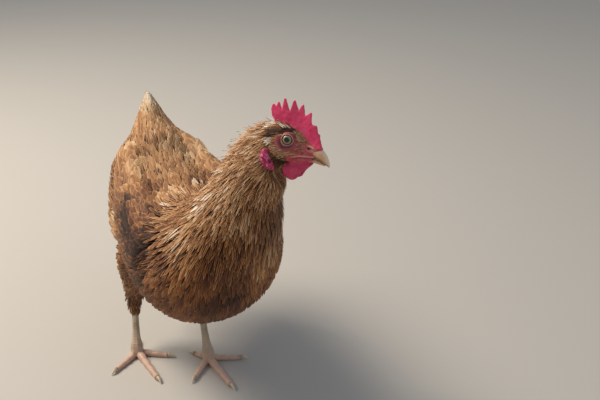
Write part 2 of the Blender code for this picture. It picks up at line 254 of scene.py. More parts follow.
def write_attributes(piece: Piece, **attributes: Array) -> None:
    """Stores numbers or colours on a mesh's vertices.

    Args:
        piece: The mesh object.
        **attributes: One number, or a row of four, for each vertex, by the attribute's name.
    """
    for name, values in attributes.items():
        kind, slot = ("FLOAT", "value") if values.ndim == 1 else ("FLOAT_COLOR", "color")
        layer = piece.data.attributes.new(name, kind, "POINT")
        layer.data.foreach_set(slot, values.astype(np.float32).ravel())


def finish_piece(piece: Piece, material: bpy.types.Material, slot: str, *nodes: str) -> None:
    """Dresses a piece, fixes it to the body and logs it.

    Args:
        piece: The finished object.
        material: Its finish.
        slot: The record's material slot that it takes its finish from; not used.
        *nodes: The CAD nodes that it stands for.
    """
    piece.data.materials.clear()
    piece.data.materials.append(material)
    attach(piece, "root")
    if nodes:
        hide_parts(*nodes)
    LOG.info("%s: %d faces", piece.name, len(piece.data.polygons))


class Surface:
    """A mesh that points can be laid on.

    When places are scattered over it, TRIES of them are tried for each that there is room for.
    """

    TRIES = 7
    JUST_INSIDE = 0.4 * MM
    STEPS = [(i, j, k) for i in (-1, 0, 1) for j in (-1, 0, 1) for k in (-1, 0, 1)]

    def __init__(self, piece: Piece) -> None:
        """Reads the mesh once, for quick questions about the nearest place on it."""
        mesh = piece.data
        mesh.calc_loop_triangles()
        self.points, self.normals = points_of(piece), normals_of(piece)
        corners = np.empty(len(mesh.loop_triangles) * 3, int)
        mesh.loop_triangles.foreach_get("vertices", corners)
        self.faces = corners.reshape(-1, 3)
        self.tree = BVHTree.FromPolygons(self.points.tolist(), self.faces.tolist())

    def near(self, at: Array) -> tuple[Array, Array, Array]:
        """The nearest places on the mesh.

        Args:
            at: Rows of x, y, z.

        Returns:
            The places, the triangle that each is on, and how far away each is.
        """
        places, faces, gaps = np.empty_like(at), np.empty(len(at), int), np.empty(len(at))
        for row, point in enumerate(at.tolist()):
            places[row], _, faces[row], gaps[row] = self.tree.find_nearest(point)
        return places, faces, gaps

    def blend(self, values: Array, places: Array, faces: Array) -> Array:
        """A vertex value smoothed over the triangles.

        Args:
            values: The value at each vertex.
            places: Where it is wanted, on the mesh.
            faces: The triangle that each of those is on.

        Returns:
            The value at each place.
        """
        corners = self.faces[faces]
        gap = np.linalg.norm(self.points[corners] - places[:, None], axis=2)
        share = 1 / (gap + 0.05 * MM)
        share /= share.sum(axis=1, keepdims=True)
        return (values[corners] * (share if values.ndim == 1 else share[..., None])).sum(axis=1)

    def depth_under(self, most: float) -> Array:
        """How thick the form is under each vertex, straight in, up to the most given."""
        thick = np.full(len(self.points), most)
        starts = self.points - self.normals * self.JUST_INSIDE
        for row, (start, out) in enumerate(zip(starts.tolist(), self.normals.tolist())):
            hit = self.tree.ray_cast(start, Vector(out) * -1)
            if hit[0] is not None:
                thick[row] = hit[3]
        return thick

    def scatter(self, spacing: Array, allowed: Array, seed: int) -> tuple[Array, Array]:
        """Places spread over the mesh, none nearer to another than the spacing there.

        Args:
            spacing: The spacing at each vertex.
            allowed: True at each vertex that takes any.
            seed: Which scatter.

        Returns:
            The places and the triangle that each is on.
        """
        rng = np.random.default_rng(seed)
        rows = np.flatnonzero(allowed[self.faces].all(axis=1))
        a, b, c = (self.points[self.faces[rows, k]] for k in range(3))
        area = np.linalg.norm(np.cross(b - a, c - a), axis=1) / 2
        gap = spacing[self.faces[rows]].mean(axis=1)
        pick = np.repeat(np.arange(len(rows)), rng.poisson(area / gap**2 * self.TRIES))
        rng.shuffle(pick)
        u, v = rng.random((2, len(pick)))
        flip = u + v > 1
        u[flip], v[flip] = 1 - u[flip], 1 - v[flip]
        places = a[pick] + u[:, None] * (b - a)[pick] + v[:, None] * (c - a)[pick]
        kept: list[int] = []
        grid: dict[tuple[int, int, int], list[list[float]]] = {}
        cells = np.floor(places / float(gap.max())).astype(int).tolist()
        for row, (spot, (i, j, k)) in enumerate(zip(places.tolist(), cells)):
            x, y, z = spot
            limit = gap[pick[row]] ** 2
            others = (o for di, dj, dk in self.STEPS for o in grid.get((i + di, j + dj, k + dk), ()))
            if all((x - p) ** 2 + (y - q) ** 2 + (z - r) ** 2 >= limit for p, q, r in others):
                kept.append(row)
                grid.setdefault((i, j, k), []).append(spot)
        return places[kept], rows[pick[kept]]


# ---------------------------------------------------------------- the hen's measures


class HeadPlace:
    """The head's own frame, from where the eyes are and how the head is turned."""

    YAW, PITCH, ROLL = 46, 6, -12
    EYE = (-0.5, 9.6, 3.8)
    EYE_RADIUS = 6.2

    def __init__(self) -> None:
        """Places the frame between the two eyes of the CAD."""
        turn = Euler([math.radians(a) for a in (self.ROLL, self.PITCH, self.YAW)], "XYZ")
        self.axes = np.array(turn.to_matrix())
        middles = [sum(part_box(f"eye_{side.node}"), Vector()) / 2 for side in Side]
        between = np.array(sum(middles, Vector()) / 2)
        self.origin = between - self.axes @ (np.array([self.EYE[0], 0, self.EYE[2]]) * MM)

    def inward(self, points: Array) -> Array:
        """World points as head millimetres."""
        return (points - self.origin) / MM @ self.axes

    def outward(self, points: Array) -> Array:
        """Head millimetres as world points."""
        return self.origin + points * MM @ self.axes.T

    def matrix(self) -> Matrix:
        """Takes a mesh made in head millimetres to its place."""
        turn = Matrix(self.axes.tolist()).to_4x4() @ Matrix.Scale(MM, 4)
        return Matrix.Translation(Vector(self.origin)) @ turn

    def eye(self, side: float | Array) -> Array:
        """The middle of the eyeball on the side of this sign, or of each, in head millimetres."""
        x, y, z = self.EYE
        return np.stack([x + 0 * side, y * side, z + 0 * side], axis=-1)

    def gaze(self, side: Side) -> Array:
        """The way one eye looks, in the head's frame."""
        return unit(np.array([0.16, side.value, 0.02]))


HEAD = HeadPlace()
MOUTH: Keys = ((2.5, -14.2), (8.6, -12.2), (13, -10.7), (19.4, -9.9), (26, -9.6))


def face_round(points: Array) -> Array:
    """How far inside the face each head point is: above 0, only bristles grow."""
    return 1 - ((points[:, 0] - 6) / 20) ** 2 - ((points[:, 2] + 4) / 13.0) ** 2


def face_bare(points: Array) -> Array:
    """How far inside the bare skin each head point is: round the eye, the lores, the lips."""
    x, z = points[:, 0], points[:, 2]
    eye = 1 - ((x + 0.6) / 10.6) ** 2 - ((z - 2.6) / 7.8) ** 2
    lores = 1 - ((x - 17) / 11.5) ** 2 - ((z + 2.6) / 6.2) ** 2
    reached = ease(x, 0.5, 3)
    lips = (1 - ((z - read(MOUTH, x) - 0.6) / 3.4) ** 2) * reached - (1 - reached)
    return np.maximum(np.maximum(eye, lores), lips)


class Spine:
    """A line from the bill to the tail's end, which the lie of the feathers follows."""

    MIDDLES = ((199, 86, 349), (182.8, 69.4, 351), (163.8, 54.4, 331.5), (150.8, 46.9, 309.5),
               (138.8, 37.9, 279), (128.3, 28.9, 247), (113.8, 20.4, 216.5), (90.8, 14.4, 193.5),
               (58.3, 9.9, 180.5), (18.3, 8.4, 177), (-28.2, 8.4, 177), (-75.2, 8.4, 182),
               (-113.7, 8.4, 195), (-145.2, 8.4, 215), (-170.2, 10.4, 236.5),
               (-189.2, 11.4, 259), (-203.2, 12.4, 277), (-226, 12.4, 306))
    HEAD_ROW = 1
    SPREAD = 24.0

    def __init__(self) -> None:
        """Measures the line from the head's middle."""
        self.knots = np.array(self.MIDDLES) * MM
        steps = np.diff(self.knots, axis=0)
        self.lengths = np.linalg.norm(steps, axis=1)
        self.ways = steps / self.lengths[:, None]
        along = np.concatenate([[0], np.cumsum(self.lengths)])
        self.arcs = along - along[self.HEAD_ROW]

    def read(self, points: Array) -> tuple[Array, Array, Array]:
        """Where points are along the line, and the way from head to tail there.

        Args:
            points: Rows of x, y, z in metres.

        Returns:
            The arc length from the head in millimetres, the direction, and the nearest
            point of the line.
        """
        away = points[:, None] - self.knots[:-1]
        along = np.clip((away * self.ways).sum(axis=2), 0, self.lengths)
        foot = self.knots[:-1] + along[..., None] * self.ways
        gap = np.linalg.norm(points[:, None] - foot, axis=2) / MM
        share = np.exp(-(gap**2 - gap.min(axis=1, keepdims=True) ** 2) / (2 * self.SPREAD**2))
        share /= share.sum(axis=1, keepdims=True)
        arc = ((self.arcs[:-1] + along) * share).sum(axis=1) / MM
        way, middle = ((share[..., None] * rows).sum(axis=1) for rows in (self.ways, foot))
        return arc, unit(way), middle


SPINE = Spine()


class Region(Enum):
    """The parts of the hen whose feathers have a lie of their own."""

    BODY = 0
    WING_LEFT = 1
    WING_RIGHT = 2
    THIGH_LEFT = 3
    THIGH_RIGHT = 4


THIGH_LINE = {Side.RIGHT: ((-28.2, -41.6, 150), (-72.2, -47.6, 84)),
              Side.LEFT: ((-6.2, 52.4, 150), (-26.2, 22.4, 86))}
FOOT = {Side.RIGHT: (-39.2, -56.6, 7), Side.LEFT: (5.8, 23.4, 7)}


class Form:
    """The hen's outer form, to the tips of the feathers, and what is known at each place."""

    NODES = ("head", "neck_upper", "neck_lower", "trunk", "tail", "wing_left", "wing_right",
             "thigh_left", "thigh_right", "eye_left", "eye_right")
    VOXEL = 2.8 * MM
    CLOSE = 5.0 * MM
    SOFT_STEPS = 5
    COAT: Keys = ((-30, 0.5), (0, 0.9), (24, 2.5), (50, 5), (90, 7.5), (150, 9.5), (230, 10),
                  (400, 11), (470, 11), (520, 5))
    SADDLE_FILL = 6.5
    THROAT: Keys = ((36, 0), (50, -1.6), (66, -1.0), (84, 1.0), (100, 3.2), (116, 2.4), (140, 0))
    HANG: Keys = ((26, 0), (52, 0.7), (80, 1.0), (150, 0.9), (190, 0.45), (260, 0))
    TAIL_NARROW: Keys = ((532, 1), (550, 0.85), (564, 0.5))
    WING_COAT = 5.0
    THIGH_COAT = 7.5
    DEEPEST = 200 * MM
    THICKEST = 0.36
    ON_NODE = 2.2 * MM

    def __init__(self) -> None:
        """Builds the form and reads it."""
        self.piece = cast_of(self.NODES, "form")
        regrow(self.piece, self.VOXEL, 3)
        for push in (self.CLOSE, -self.CLOSE):
            apply_modifier(self.piece, "DISPLACE", strength=push, mid_level=0)
            regrow(self.piece, self.VOXEL)
        apply_modifier(self.piece, "SMOOTH", factor=0.5, iterations=4)
        self.soften_wing_tops()
        self.shape_outline()
        self.surface = Surface(self.piece)
        self.arc, _, _ = SPINE.read(self.surface.points)
        self.region = self.regions(self.surface.points)
        self.coat = self.coat_depth()

    def soften_wing_tops(self) -> None:
        """Blends the upper edges of the wings into the back, which feathers hide."""
        x, _, z = (points_of(self.piece) / MM).T
        share = ease(z, 216, 230) * ease(x, -170, -150) * ease(x, 104, 84)
        group = self.piece.vertex_groups.new(name="wing_tops")
        for level in range(1, self.SOFT_STEPS + 1):
            rows = np.flatnonzero(np.rint(share * self.SOFT_STEPS) == level)
            group.add(rows.tolist(), level / self.SOFT_STEPS, "REPLACE")
        apply_modifier(self.piece, "SMOOTH", factor=0.5, iterations=26, vertex_group=group.name)

    def shape_outline(self) -> None:
        """Fills the hollows before the tail and down the throat, and narrows the tail's tip."""
        points, out = points_of(self.piece), normals_of(self.piece)
        arc, _, foot = SPINE.read(points)
        fill = bell((arc - 442) / 32) * ease(out[:, 2], 0.0, 0.6)
        throat = ease(out @ unit(np.array([0.5, 0.85, 0.0])), 0.0, 0.7) * read(self.THROAT, arc)
        points += out * ((self.SADDLE_FILL * fill + throat) * MM)[:, None]
        narrow = read(self.TAIL_NARROW, arc)[:, None]
        put_points(self.piece, foot + (points - foot) * narrow)

    def regions(self, points: Array) -> Array:
        """Which region each point of the form belongs to."""
        found = np.full(len(points), Region.BODY.value)
        best = np.full(len(points), self.ON_NODE)
        for region in list(Region)[1:]:
            _, _, gap = Surface(frame["nodes"][region.name.lower()]).near(points)
            found[gap < best] = region.value
            best = np.minimum(gap, best)
        return found

    def coat_depth(self) -> Array:
        """How deep the feathers are at each vertex, in metres."""
        wing = np.isin(self.region, (Region.WING_LEFT.value, Region.WING_RIGHT.value))
        thigh = self.region >= Region.THIGH_LEFT.value
        depth = np.where(thigh, self.THIGH_COAT, read(self.COAT, self.arc))
        depth = np.where(wing, self.WING_COAT, depth) * MM
        depth = np.minimum(depth, self.surface.depth_under(self.DEEPEST) * self.THICKEST)
        start, end = np.vstack([self.surface.faces[:, pair] for pair in ([0, 1], [1, 2], [2, 0])]).T
        for _ in range(8):
            total = np.bincount(start, depth[end], len(depth))
            count = np.bincount(start, minlength=len(depth))
            depth = 0.5 * depth + 0.5 * total / np.maximum(count, 1)
        return depth

    def lie(self, points: Array, regions: Array) -> Array:
        """The way that feathers point at each place, before it is laid on the surface.

        Args:
            points: Rows of x, y, z.
            regions: The region of each.

        Returns:
            Unit vectors.
        """
        arc, way, _ = SPINE.read(points)
        way[:, 2] -= read(self.HANG, arc)
        for side in Side:
            wing = regions == Region[f"WING_{side.name}"].value
            way[wing] = 0.25 * way[wing] + unit(np.array([-1, -0.14 * side.value, 0.08]))
            hip, hock, foot = (np.array(end) * MM for end in (*THIGH_LINE[side], FOOT[side]))
            down = unit(hock - hip)
            along = np.clip(((points - hip) @ down) / np.linalg.norm(hock - hip), 0, 1)
            gap = np.linalg.norm(points - hip - along[:, None] * (hock - hip), axis=1) / MM
            thigh = regions == Region[f"THIGH_{side.name}"].value
            share = (np.where(thigh, ease(along, -0.3, 0.45), 0) * ease(gap, 62, 20))[:, None]
            below = ease(points[:, 2], hock[2] + 12 * MM, hock[2] - 8 * MM)[:, None]
            down = unit(down * (1 - below) + unit(foot - hock) * below)
            way = way * (1 - share) + down * share
        return unit(way)


FORM = Form()


# ---------------------------------------------------------------- the colours of the coat


@dataclass(frozen=True)
class Patch:
    """A place where some of the feathers are paler or darker than those round it.

    Attributes:
        middle: Its middle, in millimetres.
        size: How far it reaches.
        pale: How much paler it makes a feather; below 0 is darker.
        share: The share of the feathers there that it touches.
    """

    middle: tuple[float, float, float]
    size: float
    pale: float
    share: float = 1.0


def face_patch(x: float, y: float, z: float, size: float, pale: float) -> Patch:
    """A patch whose middle is given in head millimetres."""
    return Patch(tuple(HEAD.outward(np.array([x, y, z])) / MM), size, pale)


class Markings:
    """How pale and how rusty the plumage is at each place, for the skin and the coat alike."""

    PALE: Keys = ((-20, 0.52), (20, 0.54), (50, 0.56), (110, 0.56), (150, 0.49), (185, 0.38),
                  (215, 0.28), (300, 0.33), (400, 0.45), (470, 0.38), (504, 0.4), (524, 0.74),
                  (538, 1.12))
    RUST: Keys = ((-20, 0.6), (60, 0.84), (150, 0.84), (230, 0.6), (330, 0.4), (420, 0.26), (500, 0.2))
    PATCHES = (
        Patch((128, -14, 276), 26, 0.42, 0.36), Patch((150, -4, 292), 16, 0.24, 0.2),
        Patch((98, 34, 286), 26, 0.4, 0.3), Patch((42, -30, 244), 12, 0.55, 0.45),
        Patch((10, -18, 246), 30, 0.16, 0.3), Patch((46, 50, 244), 18, 0.42, 0.45),
        Patch((117, -41, 240), 10, 0.55, 0.55), Patch((56, -70, 203), 8, 0.4, 0.5),
        Patch((-132, -24, 250), 9, 0.45, 0.6), Patch((-120, 34, 250), 9, 0.4, 0.5),
        # On this line and the next five, the darker patches with middles at x from 80 to 184, on the front
        # of the neck, the breast and the belly, are painted shade where she turns away from the key light.
        Patch((150, -6, 286), 13, 0.14, 0.35), Patch((172, 62, 254), 50, -0.16),
        Patch((184, 26, 279), 18, -0.18), Patch((-204, -6, 284), 15, -0.3),
        Patch((168, 0, 180), 60, -0.18), Patch((176, 8, 222), 52, -0.2),
        Patch((156, 40, 262), 34, -0.12), Patch((150, 10, 140), 60, -0.1),
        Patch((80, 0, 112), 60, -0.1), Patch((112, -62, 158), 34, -0.08),
        Patch((126, -40, 208), 30, -0.18), Patch((150, 70, 250), 46, -0.1),
        Patch((70, -48, 239), 17, -0.16, 0.6), Patch((40, 60, 238), 17, -0.16, 0.6),
        # A dark band along the lower edge of each wing: painted shade under the wing's edge.
        *(Patch(middle, 19, -0.36, 0.9)
          for middle in ((78, -67, 212), (55, -69, 212), (30, -68, 213), (5, -64, 218),
                         (-16, -58, 226), (62, 80, 212), (40, 86, 212), (12, 86, 214),
                         (-14, 80, 220))),
        Patch((-66, -66, 176), 34, 0.16), Patch((-84, -56, 196), 9, 0.42, 0.4),
        Patch((-60, -68, 160), 10, 0.42, 0.3),
        # On both sides, darker patches under the jaw, by the mouth's corner and between the lobe and the
        # wattle: painted shadow under the head.
        *(face_patch(x, y * side.value, z, size, pale)
          for side in Side
          for x, y, z, size, pale in ((-2, 9, -17, 9, -0.3), (-8, 9, -24, 12, -0.26),
                                      (8, 6, -15, 7, -0.25))),
        Patch((-4, 27, 245), 14, 0.6, 0.6), Patch((131, -18, 271), 11, 0.3, 0.4),
        Patch((24, -6, 246), 46, 0.16), Patch((70, -34, 240), 30, 0.1),
    )
    STRIPE: Keys = ((-36, 3), (-27, 9.5), (-21, 15), (-13, 17.6), (0, 14.6), (9, 11.5))
    STRIPE_PALE = 0.8
    EYE_LINE: Keys = ((-28, 2), (-17, 6.8), (-8, 11.5), (0, 12), (8, 9.5))
    EYE_LINE_WIDE: Keys = ((-26, 4), (-17, 4.5), (-8, 2.4), (8, 1.4))
    EYE_LINE_PALE = -0.42
    PALEST = 1.35
    BACK_PALE = 0.12
    FLUFF_PALE = 0.16

    def read(self, points: Array, arc: Array, chance: Array) -> Array:
        """The paleness at each place.

        Args:
            points: Rows of x, y, z in metres.
            arc: Where each is along the hen.
            chance: A random number for each feather, from 0 to 1.

        Returns:
            From 0, dark brown, to 1, cream, and more for a feather that is cream all over.
        """
        pale, places = read(self.PALE, arc), points / MM
        low = ease(places[:, 2], 205, 150) * ease(arc, 330, 400)
        high = ease(places[:, 2], 235, 250) * ease(arc, 250, 330)
        pale += self.FLUFF_PALE * low + self.BACK_PALE * high
        pale += 0.2 * (mottle(places, 34, 3) - 0.5) + 0.16 * (mottle(places, 11, 4) - 0.5)
        for number, patch in enumerate(self.PATCHES, 1):
            gap = np.linalg.norm(places - patch.middle, axis=1)
            touched = (chance * 7.31 * number % 1) < patch.share
            pale += patch.pale * touched * ease(gap, patch.size, patch.size * 0.35)
        x, _, z = HEAD.inward(points).T
        stripe = ease(np.abs(z - read(self.STRIPE, x)), 3.8, 1.6) * ease(x, 11, 5) * ease(x, -40, -26)
        pale += self.STRIPE_PALE * stripe * ease(chance, 0.38, 0.58)
        beside = np.abs(z - read(self.EYE_LINE, x)) / read(self.EYE_LINE_WIDE, x)
        pale += self.EYE_LINE_PALE * (ease(beside, 1.2, 0.6) * ease(x, 8, 4) * ease(x, -30, -22))
        return np.clip(pale, 0.02, self.PALEST)

    def rust(self, points: Array, arc: Array) -> Array:
        """How rusty, not buff, the brown is: most on the neck and the breast."""
        return np.clip(read(self.RUST, arc) + 0.3 * (mottle(points / MM, 22, 5) - 0.5), 0, 1)


MARKINGS = Markings()


# ---------------------------------------------------------------- feathers


@dataclass(frozen=True)
class Vane:
    """The shape of one kind of feather, a closed blade with a flat underside.

    Attributes:
        rows: Steps along it.
        columns: Where its lines run across it, from -1 to 1.
        outline: Its half width along it, as shares.
        camber: How far its edges drop, as a share of its half width.
        ragged: How unevenly its barbs end, as a share of its length.
        shade: How strongly its middle is darker than its edges.
    """

    rows: int
    columns: tuple[float, ...]
    outline: Keys
    camber: float
    ragged: float
    shade: float

    def faces(self) -> tuple[Array, Array]:
        """The corners of one feather's faces, and how many corners each face has."""
        wide = len(self.columns)
        corners: list[int] = []
        for near in range(0, self.rows * wide, wide):
            far = near + wide
            for column in range(wide - 1):
                corners += [near + column, far + column, far + column + 1, near + column + 1]
            corners += [near + wide - 1, far + wide - 1, far, near]
        corners += list(range(wide))
        corners += list(range((self.rows + 1) * wide - 1, self.rows * wide - 1, -1))
        return np.array(corners), np.array([4] * (self.rows * wide) + [wide, wide])


SLIM = (-1.0, 0.0, 1.0)
BROAD = (-1.0, -0.5, 0.0, 0.5, 1.0)
CROWN = Vane(4, SLIM, ((0, 0.6), (0.4, 1), (0.75, 0.65), (1, 0.06)), 0.3, 0.05, 0.9)
HACKLE = Vane(7, SLIM, ((0, 0.45), (0.35, 0.95), (0.6, 1), (0.84, 0.74), (0.94, 0.42), (1, 0.06)),
              0.2, 0.05, 0.95)
CONTOUR = Vane(8, BROAD, ((0, 0.35), (0.35, 0.85), (0.62, 1), (0.82, 0.95), (0.92, 0.74),
                          (0.97, 0.5), (1, 0.16)), 0.2, 0.07, 0.45)
SADDLE = Vane(7, BROAD, ((0, 0.4), (0.35, 0.9), (0.65, 1), (0.85, 0.84), (0.95, 0.56), (1, 0.14)),
              0.3, 0.11, 0.25)
FLUFF = Vane(5, SLIM, ((0, 0.5), (0.5, 1), (0.8, 0.75), (1, 0.1)), 0.3, 0.16, 0.4)
QUILL = Vane(14, (-1.0, -0.66, -0.33, 0.0, 0.33, 0.66, 1.0),
             ((0, 0.3), (0.2, 0.8), (0.5, 1), (0.85, 0.96), (0.95, 0.7), (1, 0.12)), 0.12, 0.03, 0.5)
BAKE_PATCH = 0.003


@dataclass
class Batch:
    """Feathers of one kind: the line that each runs along, and what differs between them.

    Attributes:
        places: For each feather, a row of places from root to tip.
        normals: The way off the skin at each of them.
        width: Full width of each, in metres.
        depth: How deep the root of each is, in metres.
        lift: How far the tip of each stands off, in metres.
        pale: How pale each is.
        rust: How rusty each is.
        patch: The place of each root on the unwrap of the skin, from 0 to 1.
    """

    places: Array
    normals: Array
    width: Array
    depth: Array
    lift: Array
    pale: Array
    rust: Array
    patch: Array
    ROLL = 7.0

    def blades(self, vane: Vane, rng: np.random.Generator) -> Array:
        """The points of every feather: feather, row along it, line across it, x y z.

        Args:
            vane: Their shape.
            rng: What their small differences are drawn from.
        """
        across = np.array(vane.columns)
        share = np.linspace(0, 1, vane.rows + 1)
        ahead = unit(np.gradient(self.places, axis=1))
        side = unit(np.cross(self.normals, ahead))
        out = unit(np.cross(ahead, side))
        roll = np.radians(rng.normal(0, self.ROLL, len(self.places)))[:, None, None]
        roll = roll * share[None, :, None]
        side, out = side * np.cos(roll) + out * np.sin(roll), out * np.cos(roll) - side * np.sin(roll)
        half = (self.width[:, None] / 2 * read(vane.outline, share)[None, :])[..., None]
        height = (-self.depth[:, None] * (1 - share[None, :]) ** 1.4
                  + self.lift[:, None] * share[None, :] ** 2.2)
        length = np.linalg.norm(np.diff(self.places, axis=1), axis=2).sum(axis=1)
        unevenness = rng.random((len(self.places), len(across))) - 0.7 - 0.5 * np.abs(across) ** 2
        barbs = vane.ragged * unevenness
        push = length[:, None, None] * barbs[:, None, :] * share[None, :, None] ** 5
        drop = -vane.camber * half * np.abs(across) ** 1.6
        return (self.places[:, :, None] + self.normals[:, :, None] * height[..., None, None]
                + side[:, :, None] * (half * across)[..., None]
                + out[:, :, None] * drop[..., None] + ahead[:, :, None] * push[..., None])

    def grow(self, name: str, vane: Vane, material: bpy.types.Material, seed: int) -> None:
        """Makes one piece of them all, and dresses it.

        Args:
            name: The piece's name.
            vane: Their shape.
            material: Their finish.
            seed: Which set of small differences.
        """
        rng = np.random.default_rng(seed)
        points = self.blades(vane, rng)
        number, rows, wide = points.shape[:3]
        corners, counts = vane.faces()
        totals = np.tile(counts, number)
        loops = (corners[None, :] + np.arange(number)[:, None] * rows * wide).ravel()
        mesh = bpy.data.meshes.new(name)
        for group, size, what, values in (
                (mesh.vertices, number * rows * wide, "co", points),
                (mesh.loops, len(loops), "vertex_index", loops),
                (mesh.polygons, len(totals), "loop_start", np.cumsum(totals) - totals)):
            group.add(size)
            group.foreach_set(what, values.ravel())
        mesh.polygons.foreach_set("loop_total", totals)
        mesh.update(calc_edges=True)
        mesh.validate()
        along = np.repeat(np.linspace(0, 1, rows), wide)[corners]
        over = np.tile(np.array(vane.columns), rows)[corners]
        local = np.stack([along, over / 2 + 0.5], axis=1)
        for layer, spots in (("vane", np.tile(local, (number, 1))),
                             ("OFBake", self.patch[:, None] + (local[None] - 0.5) * BAKE_PATCH)):
            mesh.uv_layers.new(name=layer).data.foreach_set("uv", spots.ravel())
        tone = [self.pale, self.rust, rng.random(number), np.full(number, vane.shade)]
        piece = only(added(name, mesh))
        write_attributes(piece, tone=np.repeat(np.stack(tone, 1), rows * wide, axis=0))
        bpy.ops.object.shade_smooth_by_angle(angle=math.radians(75))
        finish_piece(piece, material, "plumage")


def trace(surface: Surface, lie: Callable[[Array], Array], roots: Array, lengths: Array,
          sway: Array, rows: int) -> tuple[Array, Array]:
    """Runs a line over a surface from each root, along the lie of the feathers.

    Args:
        surface: What the lines are laid on.
        lie: Gives the way that feathers point at each place.
        roots: Where the lines start.
        lengths: How long each line is, in metres.
        sway: How far each is turned from the lie, in radians.
        rows: Steps along a line.

    Returns:
        The places and the normals along each line.
    """
    place, face, _ = surface.near(roots)
    normal = unit(surface.blend(surface.normals, place, face))
    places, normals = [place], [normal]
    step = (lengths / rows)[:, None]
    turn = sway[:, None]
    for _ in range(rows):
        way = lie(place)
        way = unit(way - (way * normal).sum(1, keepdims=True) * normal)
        aim = place + (way * np.cos(turn) + np.cross(normal, way) * np.sin(turn)) * step
        found, face, gap = surface.near(aim)
        fresh = unit(surface.blend(surface.normals, found, face))
        loose = ((gap > 0.5 * step[:, 0]) | ((fresh * normal).sum(1) < 0.3))[:, None]
        place = np.where(loose, aim, found)
        normal = np.where(loose, normal, unit(0.45 * normal + 0.55 * fresh))
        places.append(place)
        normals.append(normal)
    return np.stack(places, 1), np.stack(normals, 1)


@dataclass(frozen=True)
class Tract:
    """A field of like feathers on the form.

    A size is one number, or rows of (arc from the head, value).

    Attributes:
        spacing: How far apart their roots are.
        lift: How far a tip may stand off the form.
        sway: How much their headings differ, in degrees.
        seed: Which scatter.
        raised: The share of them that stand up from the rest, by up to raised_by.
        vary: How much they differ in paleness.
        sunk: How far under the form they lie.
        tint: How much paler than the markings they are; below 0 on the undercoats, it is painted shade in
            the gaps between the feathers over them.
    """

    name: str
    vane: Vane
    spacing: Keys | float
    length: Keys | float
    width: Keys | float
    lift: Keys | float
    sway: float
    seed: int
    raised: float = 0.0
    raised_by: float = 0.0
    vary: float = 0.07
    sunk: float = 0.0
    tint: float = 0.0


@dataclass(frozen=True)
class Fan:
    """A row of long quills laid on the form; each pair is for the lowest and the highest.

    Attributes:
        roots: Where they start.
        tips: Where they end.
        height: How high over the form they lie.
    """

    name: str
    count: int
    roots: tuple
    tips: tuple
    width: tuple[float, float]
    height: tuple[float, float]
    pale: tuple[float, float]
    rust: float


